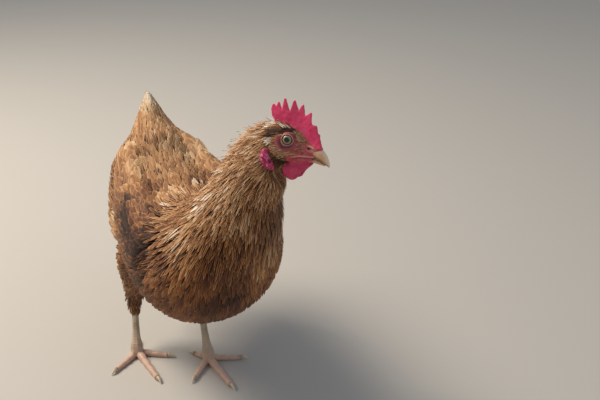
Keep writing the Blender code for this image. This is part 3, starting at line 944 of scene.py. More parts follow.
class Coat:
    """The feathers that lie on the form."""

    FREE_END = 6.0
    PAST_TAIL = 3.0
    UNEVEN = 0.12
    QUILL_ROOT = 2.0
    QUILL_LIFT = 0.8

    def __init__(self, form: Form, material: bpy.types.Material) -> None:
        """Keeps the form and the feathers' finish."""
        self.form = form
        self.material = material

    def unwrap(self, points: Array, arc: Array) -> Array:
        """Where points lie on the skin's own unwrap: along her length and round her girth."""
        _, way, foot = SPINE.read(points)
        spoke = points - foot
        beside = unit(np.cross(way, (0, 0, 1)))
        upward = np.cross(beside, way)
        turn = np.arctan2((spoke * beside).sum(1), (spoke * upward).sum(1)) / (2 * math.pi) + 0.5
        first, last = SPINE.arcs[0] / MM, SPINE.arcs[-1] / MM
        return np.clip(np.stack([(arc - first) / (last - first), turn], 1), 0, 1) * 0.96 + 0.02

    def room(self, roots: Array, arc: Array, region: Array) -> Array:
        """How long a feather may be before it hangs past the tail's or the thigh's end."""
        left = np.maximum(self.form.arc.max() - arc + self.PAST_TAIL, self.FREE_END)
        for side in Side:
            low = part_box(f"thigh_{side.node}")[0][2]
            over_shank = np.maximum((roots[:, 2] - low) / MM + 2, self.FREE_END)
            left = np.where(region == Region[f"THIGH_{side.name}"].value, over_shank, left)
        return left

    def lay(self, tract: Tract, allowed: Array) -> None:
        """Covers part of the form with a tract of feathers.

        Args:
            tract: The feathers.
            allowed: True at each vertex of the form that takes them.
        """
        form, surface, rng = self.form, self.form.surface, np.random.default_rng(tract.seed)
        roots, faces = surface.scatter(read(tract.spacing, form.arc) * MM, allowed, tract.seed)
        number = len(roots)
        arc = surface.blend(form.arc, roots, faces)
        region = form.region[surface.faces[faces, 0]]
        length = read(tract.length, arc) * rng.normal(1, self.UNEVEN, number)
        length = np.minimum(length, self.room(roots, arc, region)) * MM
        sway = np.radians(rng.normal(0, tract.sway, number))
        places, normals = trace(surface, lambda at: form.lie(at, region), roots, length, sway,
                                tract.vane.rows)
        places -= normals * tract.sunk * MM
        chance = rng.random(number)
        tip = places[:, -1]
        tip_arc, _, _ = SPINE.read(tip)
        lift = read(tract.lift, arc) * MM * rng.random(number) ** 1.6
        stands = rng.random(number) < tract.raised
        upward = ease(normals[:, 0, 2], -0.3, 0.1)
        lift += stands * tract.raised_by * MM * rng.random(number) * upward
        width = read(tract.width, arc) * MM * rng.normal(1, self.UNEVEN, number)
        pale = MARKINGS.read(tip, tip_arc, chance) + tract.tint + rng.normal(0, tract.vary, number)
        batch = Batch(places, normals, width, surface.blend(form.coat, roots, faces), lift,
                      np.clip(pale, 0, MARKINGS.PALEST), MARKINGS.rust(tip, tip_arc),
                      self.unwrap(roots, arc))
        batch.grow(tract.name, tract.vane, self.material, tract.seed)

    def fan(self, fan: Fan, seed: int) -> None:
        """Lays one row of quills.

        Args:
            fan: The quills.
            seed: Which set of small differences.
        """
        rng = np.random.default_rng(seed)
        row = np.linspace(0, 1, fan.count)
        roots, tips, width, over, pale = (
            np.array(low) + np.multiply.outer(row, np.subtract(high, low))
            for low, high in (fan.roots, fan.tips, fan.width, fan.height, fan.pale))
        share = np.linspace(0, 1, QUILL.rows + 1)[None, :, None]
        chord = (roots[:, None] + share * (tips - roots)[:, None]) * MM
        surface = self.form.surface
        spots, faces, _ = surface.near(chord.reshape(-1, 3))
        normals = unit(surface.blend(surface.normals, spots, faces)).reshape(chord.shape)
        spots = spots.reshape(chord.shape)
        for _ in range(3):
            spots[:, 1:-1] = (spots[:, :-2] + 2 * spots[:, 1:-1] + spots[:, 2:]) / 4
            normals[:, 1:-1] = unit(normals[:, :-2] + 2 * normals[:, 1:-1] + normals[:, 2:])
        spots = spots + normals * (over * MM)[:, None, None]
        lift = rng.random(fan.count) * self.QUILL_LIFT * MM
        arc, _, _ = SPINE.read(spots[:, 0])
        batch = Batch(spots, normals, width * MM, np.full(fan.count, self.QUILL_ROOT * MM), lift,
                      pale + rng.normal(0, 0.03, fan.count), np.full(fan.count, fan.rust),
                      self.unwrap(spots[:, 0], arc))
        batch.grow(fan.name, QUILL, self.material, seed)


# ---------------------------------------------------------------- skin


@dataclass(frozen=True)
class Lump:
    """A soft lump of flesh on the head, grown from balls.

    Attributes:
        flat: Its thickness as a share of its width.
        balls: The balls for the left side: x, y, z and radius in head millimetres.
    """

    flat: float
    balls: tuple[tuple[float, float, float, float], ...]

    def grow(self, side: Side, voxel: float) -> Piece:
        """Makes the lump for one side.

        Args:
            side: Which side it is for.
            voxel: The grain that its balls are grown together at.

        Returns:
            The object, in its place on the head.
        """
        pieces = []
        for x, y, z, radius in self.balls:
            middle = (x, y * side.value, z)
            bpy.ops.mesh.primitive_ico_sphere_add(subdivisions=3, radius=radius, location=middle)
            pieces.append(bpy.context.object)
            with editing(pieces[-1]):
                bpy.ops.transform.resize(value=(1, self.flat, 1), center_override=middle)
        whole = joined(pieces, "lump")
        whole.data.transform(HEAD.matrix() @ whole.matrix_world)
        whole.matrix_world = Matrix.Identity(4)
        regrow(whole, voxel, 14)
        return whole


WATTLE = Lump(0.36, ((21.0, 5.8, -15.6, 2.6), (18.0, 6.2, -16.4, 4.2), (15.0, 6.6, -18.0, 5.4),
                     (12.0, 6.9, -20.4, 6.4), (9.4, 7.1, -23.4, 7.2), (8.0, 7.4, -26.4, 7.2),
                     (4.6, 7.3, -26.4, 6.4), (2.6, 7.2, -24.6, 5.0), (8.6, 6.6, -17.4, 5.4)))
LOBE = Lump(0.5, ((-18.6, 16.0, -13.0, 4.0), (-18.0, 16.3, -15.6, 4.9), (-16.6, 16.4, -18.4, 5.4),
                  (-14.4, 16.3, -20.8, 5.2), (-11.9, 16.0, -22.6, 4.5), (-9.8, 15.6, -24.0, 3.4)))
BILL_BASE = Lump(1.0, ((20.0, 0, -3.2, 6.6), (23.0, 0, -3.0, 6.1), (25.6, 0, -2.2, 5.0),
                       (27.8, 0, -1.2, 3.9), (29.4, 0, -0.6, 2.8)))


@dataclass(frozen=True)
class Cut:
    """A plane in the head's frame: the mesh on its far side is cut away."""

    place: tuple[float, float, float]
    way: tuple[float, float, float]

    def past(self, here: Array) -> Array:
        """How far head points lie on the near side."""
        return -(here - np.array(self.place)) @ np.array(self.way)

    def apply(self, piece: Piece) -> None:
        """Cuts a mesh and closes the cut."""
        with editing(piece):
            bpy.ops.mesh.bisect(plane_co=HEAD.outward(np.array(self.place)),
                                plane_no=unit(HEAD.axes @ np.array(self.way)),
                                use_fill=True, clear_outer=True)


BODY_CUT = Cut((-24.0, 0, -12.0), (0.8, 0, 0.6))
NAPE_CUT = Cut((-38.0, 0, -22.0), (-0.75, 0, -0.66))


@dataclass
class HeadFlesh:
    """The head's skin: face, lids, comb, wattles and ear lobes, in one surface.

    Attributes:
        voxel: The grain that the parts are grown together at.
        comb_keys: The comb's thickness as a share of the CAD's, by height over its base.
        comb_base: The line where the comb leaves the crown.
        lid_open: How far the lids are open, as an angle from where the eye looks.
        lid_rings: The lids' height over the eyeball, by the angle past the opening.
        lid_reach: How far from the eyeball's middle the mesh is refined for the lids.
        dive: The share of its way to the spine that the skin past the body's cut moves in.
    """

    voxel: float = 0.62 * MM
    comb_keys: Keys = ((-2, 1.5), (1, 1.35), (5, 1.0), (11, 0.78), (18, 0.62), (27, 0.5))
    comb_base: Keys = ((-23, 19), (-19, 16.5), (-14, 13), (-2, 11), (10, 3), (18, -2), (30, 0))
    lid_open: float = 44.0
    lid_rings: Keys = ((-2, -0.9), (0, 0.5), (3, 0.95), (7, 1.15), (11, 0.85), (14, 0.35),
                       (18, 0.75), (23, 1.05), (28, 0.65), (34, 0.7), (42, 0.4))
    lid_reach: float = 9.5
    dive: float = 0.3

    def build(self) -> Piece:
        """Makes the head's skin with its masks."""
        comb = cast_of(("comb",), "comb_flesh")
        regrow(comb, self.voxel)
        lumps = {"comb": [comb],
                 "wattle": [WATTLE.grow(side, self.voxel) for side in Side],
                 "lobe": [LOBE.grow(side, self.voxel) for side in Side]}
        surfaces = {name: [Surface(lump) for lump in group] for name, group in lumps.items()}
        skull = cast_of(("head", "eye_left", "eye_right"), "skull")
        nape = cast_of(("neck_upper",), "nape")
        NAPE_CUT.apply(nape)
        base = BILL_BASE.grow(Side.LEFT, self.voxel)
        whole = joined([skull, nape, base, *sum(lumps.values(), [])], "head_skin")
        regrow(whole, self.voxel, 5)
        self.refine_round_eyes(whole)
        points = points_of(whole)
        self.masks = {}
        for name, group in surfaces.items():
            gap = np.min([surface.near(points)[2] for surface in group], axis=0) / MM
            self.masks[name] = ease(gap, 1.5, 0.25)
        self.crease, self.rings, self.lip = np.zeros((3, len(points)))
        self.sculpt(whole)
        write_attributes(whole, **self.masks, crease=self.crease, lid=self.rings, lip=self.lip)
        return whole

    def refine_round_eyes(self, whole: Piece) -> None:
        """Halves the grain of the mesh round both eyes, for the lids."""
        points = HEAD.inward(points_of(whole))
        gaps = [np.linalg.norm(points - HEAD.eye(side.value), axis=1) for side in Side]
        with editing(whole, np.min(gaps, axis=0) < self.lid_reach):
            bpy.ops.mesh.subdivide(number_cuts=1, smoothness=0.0)

    def sculpt(self, whole: Piece) -> None:
        """Shapes the face by moving the skin."""
        here = HEAD.inward(points_of(whole))
        out = normals_of(whole) @ HEAD.axes
        x, y, z = here.T
        flank = np.abs(y)
        fleshy = np.clip(sum(self.masks.values()), 0, 1)
        plain = 1 - fleshy
        arc, _, foot = SPINE.read(points_of(whole))
        dive = self.dive * ease(BODY_CUT.past(here), 2, 14)[:, None]
        here += (HEAD.inward(foot) - here) * dive
        feathered = ease(face_round(here), 0.02, -0.25)
        inset = 0.5 + 0.9 * ease(z, 9, 14) * ease(x, 16, 6)
        inset = inset + (read(Form.COAT, arc) + 0.2 - inset) * feathered * ease(arc, 2, 14)
        inset += 1.2 * ease(z, -14, -20) * ease(x, 14, 6) * ease(arc, 20, 4)
        push = -inset * plain
        for cx, cz, wide, high, amount in ((13, 2.5, 5.5, 4, -0.9), (0, 11.5, 9, 2.2, 0.7),
                                           (-7, -8, 7, 5, 0.8), (6, -13, 8, 3, 0.6),
                                           (-13, -3, 3, 4, -0.5)):
            swelling = bell((x - cx) / wide, (z - cz) / high)
            push += amount * swelling * ease(flank, 3, 7) * plain
        over = z - read(MOUTH, x)
        lip = ease(x, 1.0, 5.0) * ease(flank, 2, 4)
        for offset, wide, amount in ((0, 0.75, -0.9), (1.9, 1.0, 0.4), (-1.9, 1.0, 0.3)):
            push += amount * bell((over - offset) / wide) * lip * plain
        # Darker along the mouth line: the crease mask is painted shade in the crease. The lip mask paints
        # a pale line along the ridge just over it.
        self.crease += 0.6 * bell(over / 0.55) * lip * plain * ease(x, 4, 9)
        self.lip += 0.55 * bell((over - 1.7) / 0.8) * lip * plain * ease(x, 4, 12)
        level = z + 1.2 + 0.4 * (x - 21.2)
        beside = ease(flank, 1.4, 2.6) * (1 - self.masks["wattle"])
        slit, hood, sill = (bell((x - cx) / wide, (level - cz) / high) * beside
                            for cx, cz, wide, high in ((21.2, 0, 2.0, 0.85), (21.4, 1.9, 2.8, 0.9),
                                                       (21.4, -1.8, 2.4, 0.8)))
        push += -2.8 * slit + 1.0 * hood + 0.4 * sill
        # The nostril: its slit is darkened by the crease mask, painted shade in the opening, and the lip
        # mask paints a highlight on the rim above and below it.
        self.crease += 2.4 * slit
        self.lip += 0.7 * hood + 0.4 * sill
        push += 0.28 * (mottle(here, 1.7, 21) - 0.5) * (0.5 + fleshy) * ease(x, -20, -12)
        here = self.shape_comb(here + out * push[:, None])
        for side in Side:
            here = self.shape_lids(here, side)
        put_points(whole, HEAD.outward(here))
        apply_modifier(whole, "SMOOTH", factor=0.35, iterations=1)

    def shape_comb(self, here: Array) -> Array:
        """Makes the comb thick at its base, thin at its points and a little wavy."""
        x, y, z = here.T
        rise = z - read(self.comb_base, x)
        sway = 0.9 * np.sin(x / 4.6 + 0.8) * ease(rise, 2, 24)
        dent = 1 - 0.22 * mottle(here, 3.2, 9)
        moved = here.copy()
        moved[:, 1] = y * read(self.comb_keys, rise) * dent + sway
        return here + (moved - here) * (self.masks["comb"] * ease(rise, -2, 3))[:, None]

    def shape_lids(self, here: Array, side: Side) -> Array:
        """Wraps the skin round one eyeball as two lids, open round the iris."""
        middle, gaze = HEAD.eye(side.value), HEAD.gaze(side)
        reach = np.linalg.norm(here - middle, axis=1)
        ray = unit(here - middle)
        angle = np.degrees(np.arccos(np.clip(ray @ gaze, -1, 1)))
        across = ray - (ray @ gaze)[:, None] * gaze
        turn = np.arctan2(across[:, 2], across[:, 0])
        past = angle - (self.lid_open + 1.5 * np.cos(2 * turn) + 4 * bell((turn + 0.1) / 0.3))
        self.rings = np.maximum(self.rings, np.clip(60 - past, 0, 70) * (reach < 11))
        lid = np.where(past < -1.5, 5.0, HEAD.EYE_RADIUS + read(self.lid_rings, past))
        share = ease(reach, 10.4, 7.6) * ease(angle, 105, 88)
        return middle + ray * (reach + (lid - reach) * share)[:, None]


@dataclass
class LegFlesh:
    """The skin of the shanks and toes, with scutes across their fronts.

    Attributes:
        voxel: The grain that the pieces are grown together at.
        ridge: How far a scute's lower edge stands out.
        slimmer: How much thinner the middle of the shank is than its solid.
        into_thigh: How far its top reaches up into the skin of the thigh.
        top_band: How much of the shank's top is drawn up so.
    """

    SCUTE = 3.3
    TOES = ("inner", "middle", "outer", "hallux")

    voxel: float = 0.8 * MM
    ridge: float = 0.36
    slimmer: float = 1.1
    into_thigh: float = 18.0
    top_band: float = 7.0

    def lines(self, side: Side) -> list[tuple[Array, Array]]:
        """The middle lines of the shank and the toes, each from its upper end."""
        foot = np.array(FOOT[side]) * MM
        claws = [np.array(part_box(f"claw_{toe}_{side.node}")) for toe in self.TOES]
        return [(np.array(THIGH_LINE[side][1]) * MM, foot),
                *((foot, (low + high) / 2) for low, high in claws)]

    def build(self, side: Side) -> Piece:
        """Makes one leg's skin with the coordinates that its scales follow."""
        names = [f"shank_{side.node}"] + [f"toe_{toe}_{side.node}" for toe in self.TOES]
        leg = cast_of(names, f"leg_{side.node}")
        regrow(leg, self.voxel, 4)
        points, out = points_of(leg), normals_of(leg)
        best = np.full(len(points), 1.0)
        along, front, toe, thin = np.zeros((4, len(points)))
        for number, (start, end) in enumerate(self.lines(side)):
            way, length = unit(end - start), np.linalg.norm(end - start)
            run = np.clip((points - start) @ way, 0, length)
            gap = np.linalg.norm(points - start - run[:, None] * way, axis=1)
            facing, share = np.array([0, 0, 1.0]), 0.55 + 0.45 * ease(run / MM, 0, 16)
            if number == 0:
                facing = unit(np.array([math.cos(0.18), math.sin(0.18), 0.15]))
                share = 0.55 * ease(run / length, 0.3, 1.0)
                slim = self.slimmer * ease(run / MM, 8, 30) * ease((length - run) / MM, 3, 15)
            nearer = gap < best
            best[nearer] = gap[nearer]
            along[nearer] = run[nearer] / MM + 100 * number
            front[nearer] = (out @ facing)[nearer]
            toe[nearer] = share[nearer]
            thin = slim if number == 0 else np.where(nearer, 0, thin)
        step = (along / self.SCUTE) % 1
        raised = self.ridge * (step ** 1.5 - 0.9 * ease(step, 0.9, 1.0)) * ease(front, 0.05, 0.5)
        raised = (raised - thin) * ease(points[:, 2] / MM, 0.8, 2.5)
        hock, foot = self.lines(side)[0]
        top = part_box(f"shank_{side.node}")[1][2]
        drawn = self.into_thigh * ease(points[:, 2], top - self.top_band * MM, top)
        points += unit(hock - foot) * (drawn * MM)[:, None]
        put_points(leg, points + out * (raised * MM)[:, None])
        write_attributes(leg, along=along, front=front, toe=toe, scaled=np.ones(len(points)))
        return leg


class Skin:
    """One skin for the whole hen, inside the form by the depth of the coat."""

    NODES = ("head", "neck_upper", "neck_lower", "trunk", "tail", "comb")
    PAIRED = ("wing", "thigh", "shank", "earlobe", "wattle", "toe_inner", "toe_middle",
              "toe_outer", "toe_hallux")
    BODY_KEEP = 0.42

    def __init__(self, form: Form) -> None:
        """Keeps the form that the skin lies inside."""
        self.form = form

    def build_body(self) -> Piece:
        """The skin of the neck, trunk, wings, thighs and tail."""
        body = added("body_skin", self.form.piece.data.copy())
        surface = self.form.surface
        put_points(body, surface.points - surface.normals * self.form.coat[:, None])
        BODY_CUT.apply(body)
        apply_modifier(body, "SMOOTH", factor=0.5, iterations=6)
        apply_modifier(body, "DECIMATE", ratio=self.BODY_KEEP)
        return body

    def keep_one_island(self, whole: Piece) -> None:
        """Deletes the crumbs that the union leaves apart from the surface the comb is on."""
        height = points_of(whole)[:, 2]
        with editing(whole, height == height.max()):
            bpy.ops.mesh.select_linked()
            bpy.ops.mesh.select_all(action="INVERT")
            bpy.ops.mesh.delete(type="VERT")

    def build(self, material: bpy.types.Material) -> Piece:
        """Makes the skin, in one piece, with the plumage's tone on its feathered parts."""
        whole = HeadFlesh().build()
        whole.name = whole.data.name = "skin"
        for other in [self.build_body()] + [LegFlesh().build(side) for side in Side]:
            apply_modifier(whole, "BOOLEAN", operation="UNION", solver="MANIFOLD", object=other)
            bpy.data.objects.remove(other)
        self.keep_one_island(whole)
        points = points_of(whole)
        arc, _, _ = SPINE.read(points)
        here = HEAD.inward(points)
        bare = np.maximum(ease(face_bare(here), -0.12, 0.1), 0.6 * ease(face_round(here), 0, 0.2))
        bare *= ease(here[:, 2], 10.8, 9.4)
        bare = np.maximum(bare, ease(here[:, 0], 13, 17)) * ease(here[:, 0], 45, 30)
        none = np.zeros(len(points))
        # Under the coat the skin is a fifth darker than the markings: painted shade in the gaps between
        # the feathers.
        tone = [MARKINGS.read(points, arc, none) * 0.8, MARKINGS.rust(points, arc), none, none]
        write_attributes(whole, bare=np.where(arc < 60, bare, 0.0), tone=np.stack(tone, axis=1))
        only(whole)
        bpy.ops.object.shade_smooth()
        nodes = [f"{name}_{side.node}" for name in self.PAIRED for side in Side]
        finish_piece(whole, material, "face_skin", *self.NODES, *nodes)
        return whole


# ---------------------------------------------------------------- finishes


Ramp = tuple[tuple[float, str], ...]
Socket = bpy.types.NodeSocket


def linear(code: str) -> tuple[float, float, float, float]:
    """Turns an sRGB hex colour into the linear colour that a shader takes."""
    parts = [int(code[place:place + 2], 16) / 255 for place in (1, 3, 5)]
    return (*(p / 12.92 if p <= 0.04045 else ((p + 0.055) / 1.055) ** 2.4 for p in parts), 1.0)


class Finish:
    """One material as it is built, with the few kinds of node that all of them use."""

    def __init__(self, name: str) -> None:
        """Starts a new material."""
        self.material = bpy.data.materials.new(name)
        self.material.use_nodes = True
        self.tree = self.material.node_tree

    def feed(self, socket: Socket, source: object) -> None:
        """Gives an input socket a value, a colour's hex code or another node's output."""
        if isinstance(source, Socket):
            self.tree.links.new(source, socket)
        else:
            socket.default_value = linear(source) if isinstance(source, str) else source

    def add(self, kind: str, *sources: object, out: int | None = 0, **settings: object) -> Socket:
        """Adds one node.

        Args:
            kind: The node's type, without its ShaderNode prefix.
            *sources: What feeds its first input sockets, in order; None leaves one as it is.
            out: Which of its outputs is wanted, or None for all of them.
            **settings: Its properties, and what feeds other input sockets, by name.

        Returns:
            The output, or the node's list of outputs.
        """
        node = self.tree.nodes.new(f"ShaderNode{kind}")
        for name, value in settings.items():
            if hasattr(node, name):
                setattr(node, name, value)
            else:
                self.feed(node.inputs[name], value)
        for socket, source in zip(node.inputs, sources):
            if source is not None:
                self.feed(socket, source)
        return node.outputs if out is None else node.outputs[out]

    def attribute(self, name: str) -> Socket:
        """The number that the mesh stores under this name."""
        return self.add("Attribute", out=2, attribute_name=name)

    def place(self) -> Socket:
        """Where a point is on the object."""
        return self.add("TexCoord", out=3)

    def math(self, operation: str, *sources: object) -> Socket:
        """One sum, in the order of the node's sockets."""
        return self.add("Math", *sources, operation=operation)

    def total(self, *sources: Socket) -> Socket:
        """All the numbers given, added up."""
        first, *others = sources
        for other in others:
            first = self.math("ADD", first, other)
        return first

    def span(self, source: Socket, low: float, high: float, to_low: float = 0.0,
             to_high: float = 1.0, soft: bool = False) -> Socket:
        """Maps the range low to high onto to_low to to_high, in a straight or a soft slope."""
        kind = "SMOOTHSTEP" if soft else "LINEAR"
        return self.add("MapRange", source, low, high, to_low, to_high, interpolation_type=kind)

    def mix(self, share: Socket, under: object, over: object) -> Socket:
        """Lays one colour over another by a share."""
        return self.add("MixRGB", share, under, over)

    def ramp(self, stops: Ramp, source: Socket) -> Socket:
        """Turns a number into a colour.

        Args:
            stops: The colours as (place, hex colour).
            source: The number.

        Returns:
            The colour.
        """
        colour = self.add("ValToRGB", source)
        elements = colour.node.color_ramp.elements
        while len(elements) < len(stops):
            elements.new(0.5)
        for element, (place, code) in zip(elements, stops):
            element.position = place
            element.color = linear(code)
        return colour

    def bump(self, height: Socket, strength: float, distance: float) -> Socket:
        """Roughens the surface by a height, in metres."""
        return self.add("Bump", Height=height, Strength=strength, Distance=distance)

    def dress(self, colour: object, roughness: float, ior: float, **others: object) -> bpy.types.Material:
        """Sets up the shader.

        Args:
            colour: The base colour.
            roughness: How matt it is.
            ior: Its index of refraction.
            **others: What feeds other sockets, with _ for each space in their names.

        Returns:
            The finished material.
        """
        shader = self.tree.nodes["Principled BSDF"]
        for name, value in {"Base Color": colour, "Roughness": roughness, "IOR": ior, **others}.items():
            self.feed(shader.inputs[name.replace("_", " ")], value)
        return self.material


@dataclass(frozen=True)
class Plumage:
    """Keratin feathers, brown with darker middles: soft, matt, with a slight sheen of barbs.

    The ramps run from dark brown to cream, one rusty and one buff, and the tone attribute
    says where on them each feather is.
    """

    rusty: Ramp = ((0.0, "#28150d"), (0.22, "#5b321b"), (0.42, "#98592e"), (0.58, "#c38546"),
                   (0.74, "#dbac76"), (0.88, "#eed9b8"), (1.0, "#f8f2e6"))
    buff: Ramp = ((0.0, "#33241c"), (0.22, "#654530"), (0.42, "#a07852"), (0.58, "#c8a075"),
                  (0.78, "#e2caa8"), (1.0, "#f8f2e8"))
    barb_lines: float = 26.0

    def colour(self, finish: Finish, pale: Socket, rust: Socket) -> Socket:
        """The plumage's colour, by how pale and how rusty it is."""
        return finish.mix(rust, finish.ramp(self.buff, pale), finish.ramp(self.rusty, pale))

    def make(self) -> bpy.types.Material:
        """Builds the material: shaft, darker middle, paler fringe and barbs on each vane."""
        finish = Finish("feather_keratin")
        tone = finish.add("Attribute", out=None, attribute_name="tone")
        pale, rust, chance = finish.add("SeparateColor", tone["Color"], out=None)
        along, across, _ = finish.add("SeparateXYZ", finish.add("UVMap", uv_map="vane"), out=None)
        edge = finish.math("ABSOLUTE", finish.math("SUBTRACT", across, 0.5))
        lace = finish.total(finish.span(edge, 0.1, 0.42, -0.24, 0.17, soft=True),
                            finish.span(along, 0.72, 1.0, 0.0, 0.12, soft=True),
                            finish.span(along, 0.15, 0.7, -0.2, 0.0, soft=True))
        lace = finish.math("MULTIPLY", lace, tone["Alpha"])
        shaft = finish.span(edge, 0.015, 0.05, 0.08, 0.0)
        axes = (finish.math("MULTIPLY", source, scale)
                for source, scale in ((along, 2.5), (across, 17.0), (chance, 60.0)))
        strands = finish.add("TexNoise", finish.add("CombineXYZ", *axes), Scale=1.0, Detail=2.0)
        slant = finish.math("MULTIPLY_ADD", edge, -0.5, along)
        barbs = finish.math("SINE", finish.math("MULTIPLY", slant, self.barb_lines * 2 * math.pi))
        pale = finish.total(pale, lace, shaft, finish.math("MULTIPLY", barbs, 0.035),
                            finish.span(strands, 0.3, 0.7, -0.09, 0.09))
        return finish.dress(self.colour(finish, pale, rust), 0.62, 1.45, Specular_IOR_Level=0.3,
                            Sheen_Weight=0.06, Sheen_Roughness=0.5,
                            Normal=finish.bump(barbs, 0.25, 0.0004))


@dataclass(frozen=True)
class Paint:
    """Pale matt paint rolled on the studio floor: flat and even, with no shine."""

    pale: str = "#c3c0ba"

    def make(self) -> bpy.types.Material:
        """Builds the material."""
        return Finish("rolled_matt_paint").dress(self.pale, 0.9, 1.5)


@dataclass(frozen=True)
class BirdSkin:
    """Living skin of a hen: crimson comb and wattles, red face, olive-horn scales on the legs.

    The comb is full of blood under a thin pebbled skin, so it is saturated, a little
    translucent and softly glossy; the face is paler and drier; the scales are hard and
    waxy, darker in their grooves as painted shade.
    """

    comb: Ramp = ((0.0, "#cc2656"), (0.45, "#e63a68"), (0.8, "#ee5a80"), (1.0, "#f596aa"))
    wattle: Ramp = ((0.0, "#b02048"), (0.45, "#c83258"), (0.8, "#d44c6c"), (1.0, "#e27c90"))
    face: Ramp = ((0.0, "#8e3434"), (0.5, "#c04a50"), (1.0, "#dc8078"))
    lobe: Ramp = ((0.0, "#5c1030"), (0.26, "#a01e4c"), (0.5, "#c4305e"), (0.7, "#c8608c"),
                  (0.86, "#c9a2c0"), (1.0, "#eee0ea"))
    scale: Ramp = ((0.0, "#5a503e"), (0.4, "#92866a"), (0.8, "#b8ac90"), (1.0, "#d0c8b0"))
    toes: str = "#deb4a4"
    # Pale line along the ridge over the mouth, and the painted highlight on the nostril's rim.
    ridge: str = "#eec6b6"
    # The dark stop at 0.36 falls in the groove round the lids: painted shade there.
    lids: Ramp = ((0.0, "#1c1210"), (0.1, "#5a3a38"), (0.16, "#d29a86"), (0.27, "#c88478"),
                  (0.36, "#542830"), (0.46, "#904a50"), (0.6, "#c0505c"), (0.72, "#8e3844"),
                  (0.86, "#bc4c54"), (1.0, "#b8474a"))
    # Painted shade in the mouth's crease and in the nostril's slit.
    deep: str = "#241014"
    grain: float = 1500.0

    def make(self, plumage: Plumage) -> bpy.types.Material:
        """Builds the material, with the plumage's colour under the coat."""
        finish = Finish("hen_skin")
        place, mask = finish.place(), finish.attribute
        blotch = finish.add("TexNoise", place, Scale=160.0, Detail=5.0, Roughness=0.6)
        pebble = finish.add("TexVoronoi", place, Scale=self.grain)
        shift = finish.math("SUBTRACT", finish.math("MULTIPLY_ADD", pebble, 0.55, blotch), 0.2)
        flecks = finish.add("TexNoise", place, Scale=330.0, Detail=4.0, Roughness=0.7)
        tone = finish.add("Attribute", attribute_name="tone")
        pale, rust, _ = finish.add("SeparateColor", tone, out=None)
        colour = plumage.colour(finish, pale, rust)
        scales, plates = self.scales(finish, place)
        scaled, lid = mask("scaled"), mask("lid")
        for share, layer in ((mask("bare"), finish.ramp(self.face, shift)),
                             (mask("lobe"), finish.ramp(self.lobe, finish.span(flecks, 0.34, 0.68))),
                             (mask("wattle"), finish.ramp(self.wattle, shift)),
                             (mask("comb"), finish.ramp(self.comb, shift)),
                             (scaled, scales),
                             # Lids, with painted shade in the groove round them.
                             (finish.span(lid, 20.0, 34.0),
                              finish.ramp(self.lids, finish.span(lid, 64.0, 16.0))),
                             # Pale line over the mouth; painted highlight on the nostril's rim.
                             (mask("lip"), self.ridge),
                             # Painted shade in the mouth's crease and the nostril's slit.
                             (finish.span(mask("crease"), 0.15, 0.9), self.deep)):
            colour = finish.mix(share, colour, layer)
        pebbled = finish.math("MULTIPLY", pebble, 0.6)
        height = finish.add("Mix", scaled, None, pebbled, plates, data_type="FLOAT")
        return finish.dress(colour, 0.42, 1.4, Subsurface_Weight=0.12, Subsurface_Scale=0.5,
                            Subsurface_Radius=(0.004, 0.0012, 0.0008),
                            Normal=finish.bump(height, 0.5, 0.0005))

    def scales(self, finish: Finish, place: Socket) -> tuple[Socket, Socket]:
        """The scaled legs: scutes in front and a net of small scales behind.

        Args:
            finish: The material as it is built.
            place: Where a point is on the object.

        Returns:
            The colour and the height.
        """
        step = finish.math("FRACT", finish.math("DIVIDE", finish.attribute("along"), LegFlesh.SCUTE))
        plate = finish.span(step, 0.86, 1.0, 1.0, 0.0)
        front = finish.span(finish.attribute("front"), 0.05, 0.35)
        cells = finish.add("TexVoronoi", place, feature="DISTANCE_TO_EDGE", Scale=620.0)
        height = finish.add("Mix", front, None, finish.span(cells, 0.0, 0.12), plate,
                            data_type="FLOAT")
        stain = finish.add("TexNoise", place, Scale=90.0, Detail=6.0)
        # Lower height, in the grooves under the scutes and between the small scales, makes the colour
        # darker: painted shade.
        shade = finish.math("ADD", finish.math("MULTIPLY", height, 0.35), stain)
        scales = finish.ramp(self.scale, finish.math("SUBTRACT", shade, 0.12))
        return finish.mix(finish.math("MULTIPLY", finish.attribute("toe"), 0.7), scales, self.toes), height


@dataclass(frozen=True)
class Iris:
    """A hen's living eye: an olive-gold iris with fine spokes under a wet clear cornea."""

    rings: Ramp = ((0.0, "#060708"), (0.345, "#0b0e0f"), (0.37, "#4a4028"), (0.45, "#80744c"),
                   (0.58, "#a3976a"), (0.65, "#7c7046"), (0.69, "#2c2415"), (0.76, "#150f0d"),
                   (1.0, "#2a1816"))

    def make(self) -> bpy.types.Material:
        """Builds the material, which reads how far each place is from the pupil's middle."""
        finish = Finish("wet_cornea_over_iris")
        spokes = finish.add("TexNoise", finish.place(), Scale=1400.0, Detail=3.0)
        ring = finish.total(finish.attribute("ring"), finish.span(spokes, 0.3, 0.7, -0.02, 0.02))
        return finish.dress(finish.ramp(self.rings, ring), 0.25, 1.38, Coat_Weight=1.0,
                            Coat_Roughness=0.03)


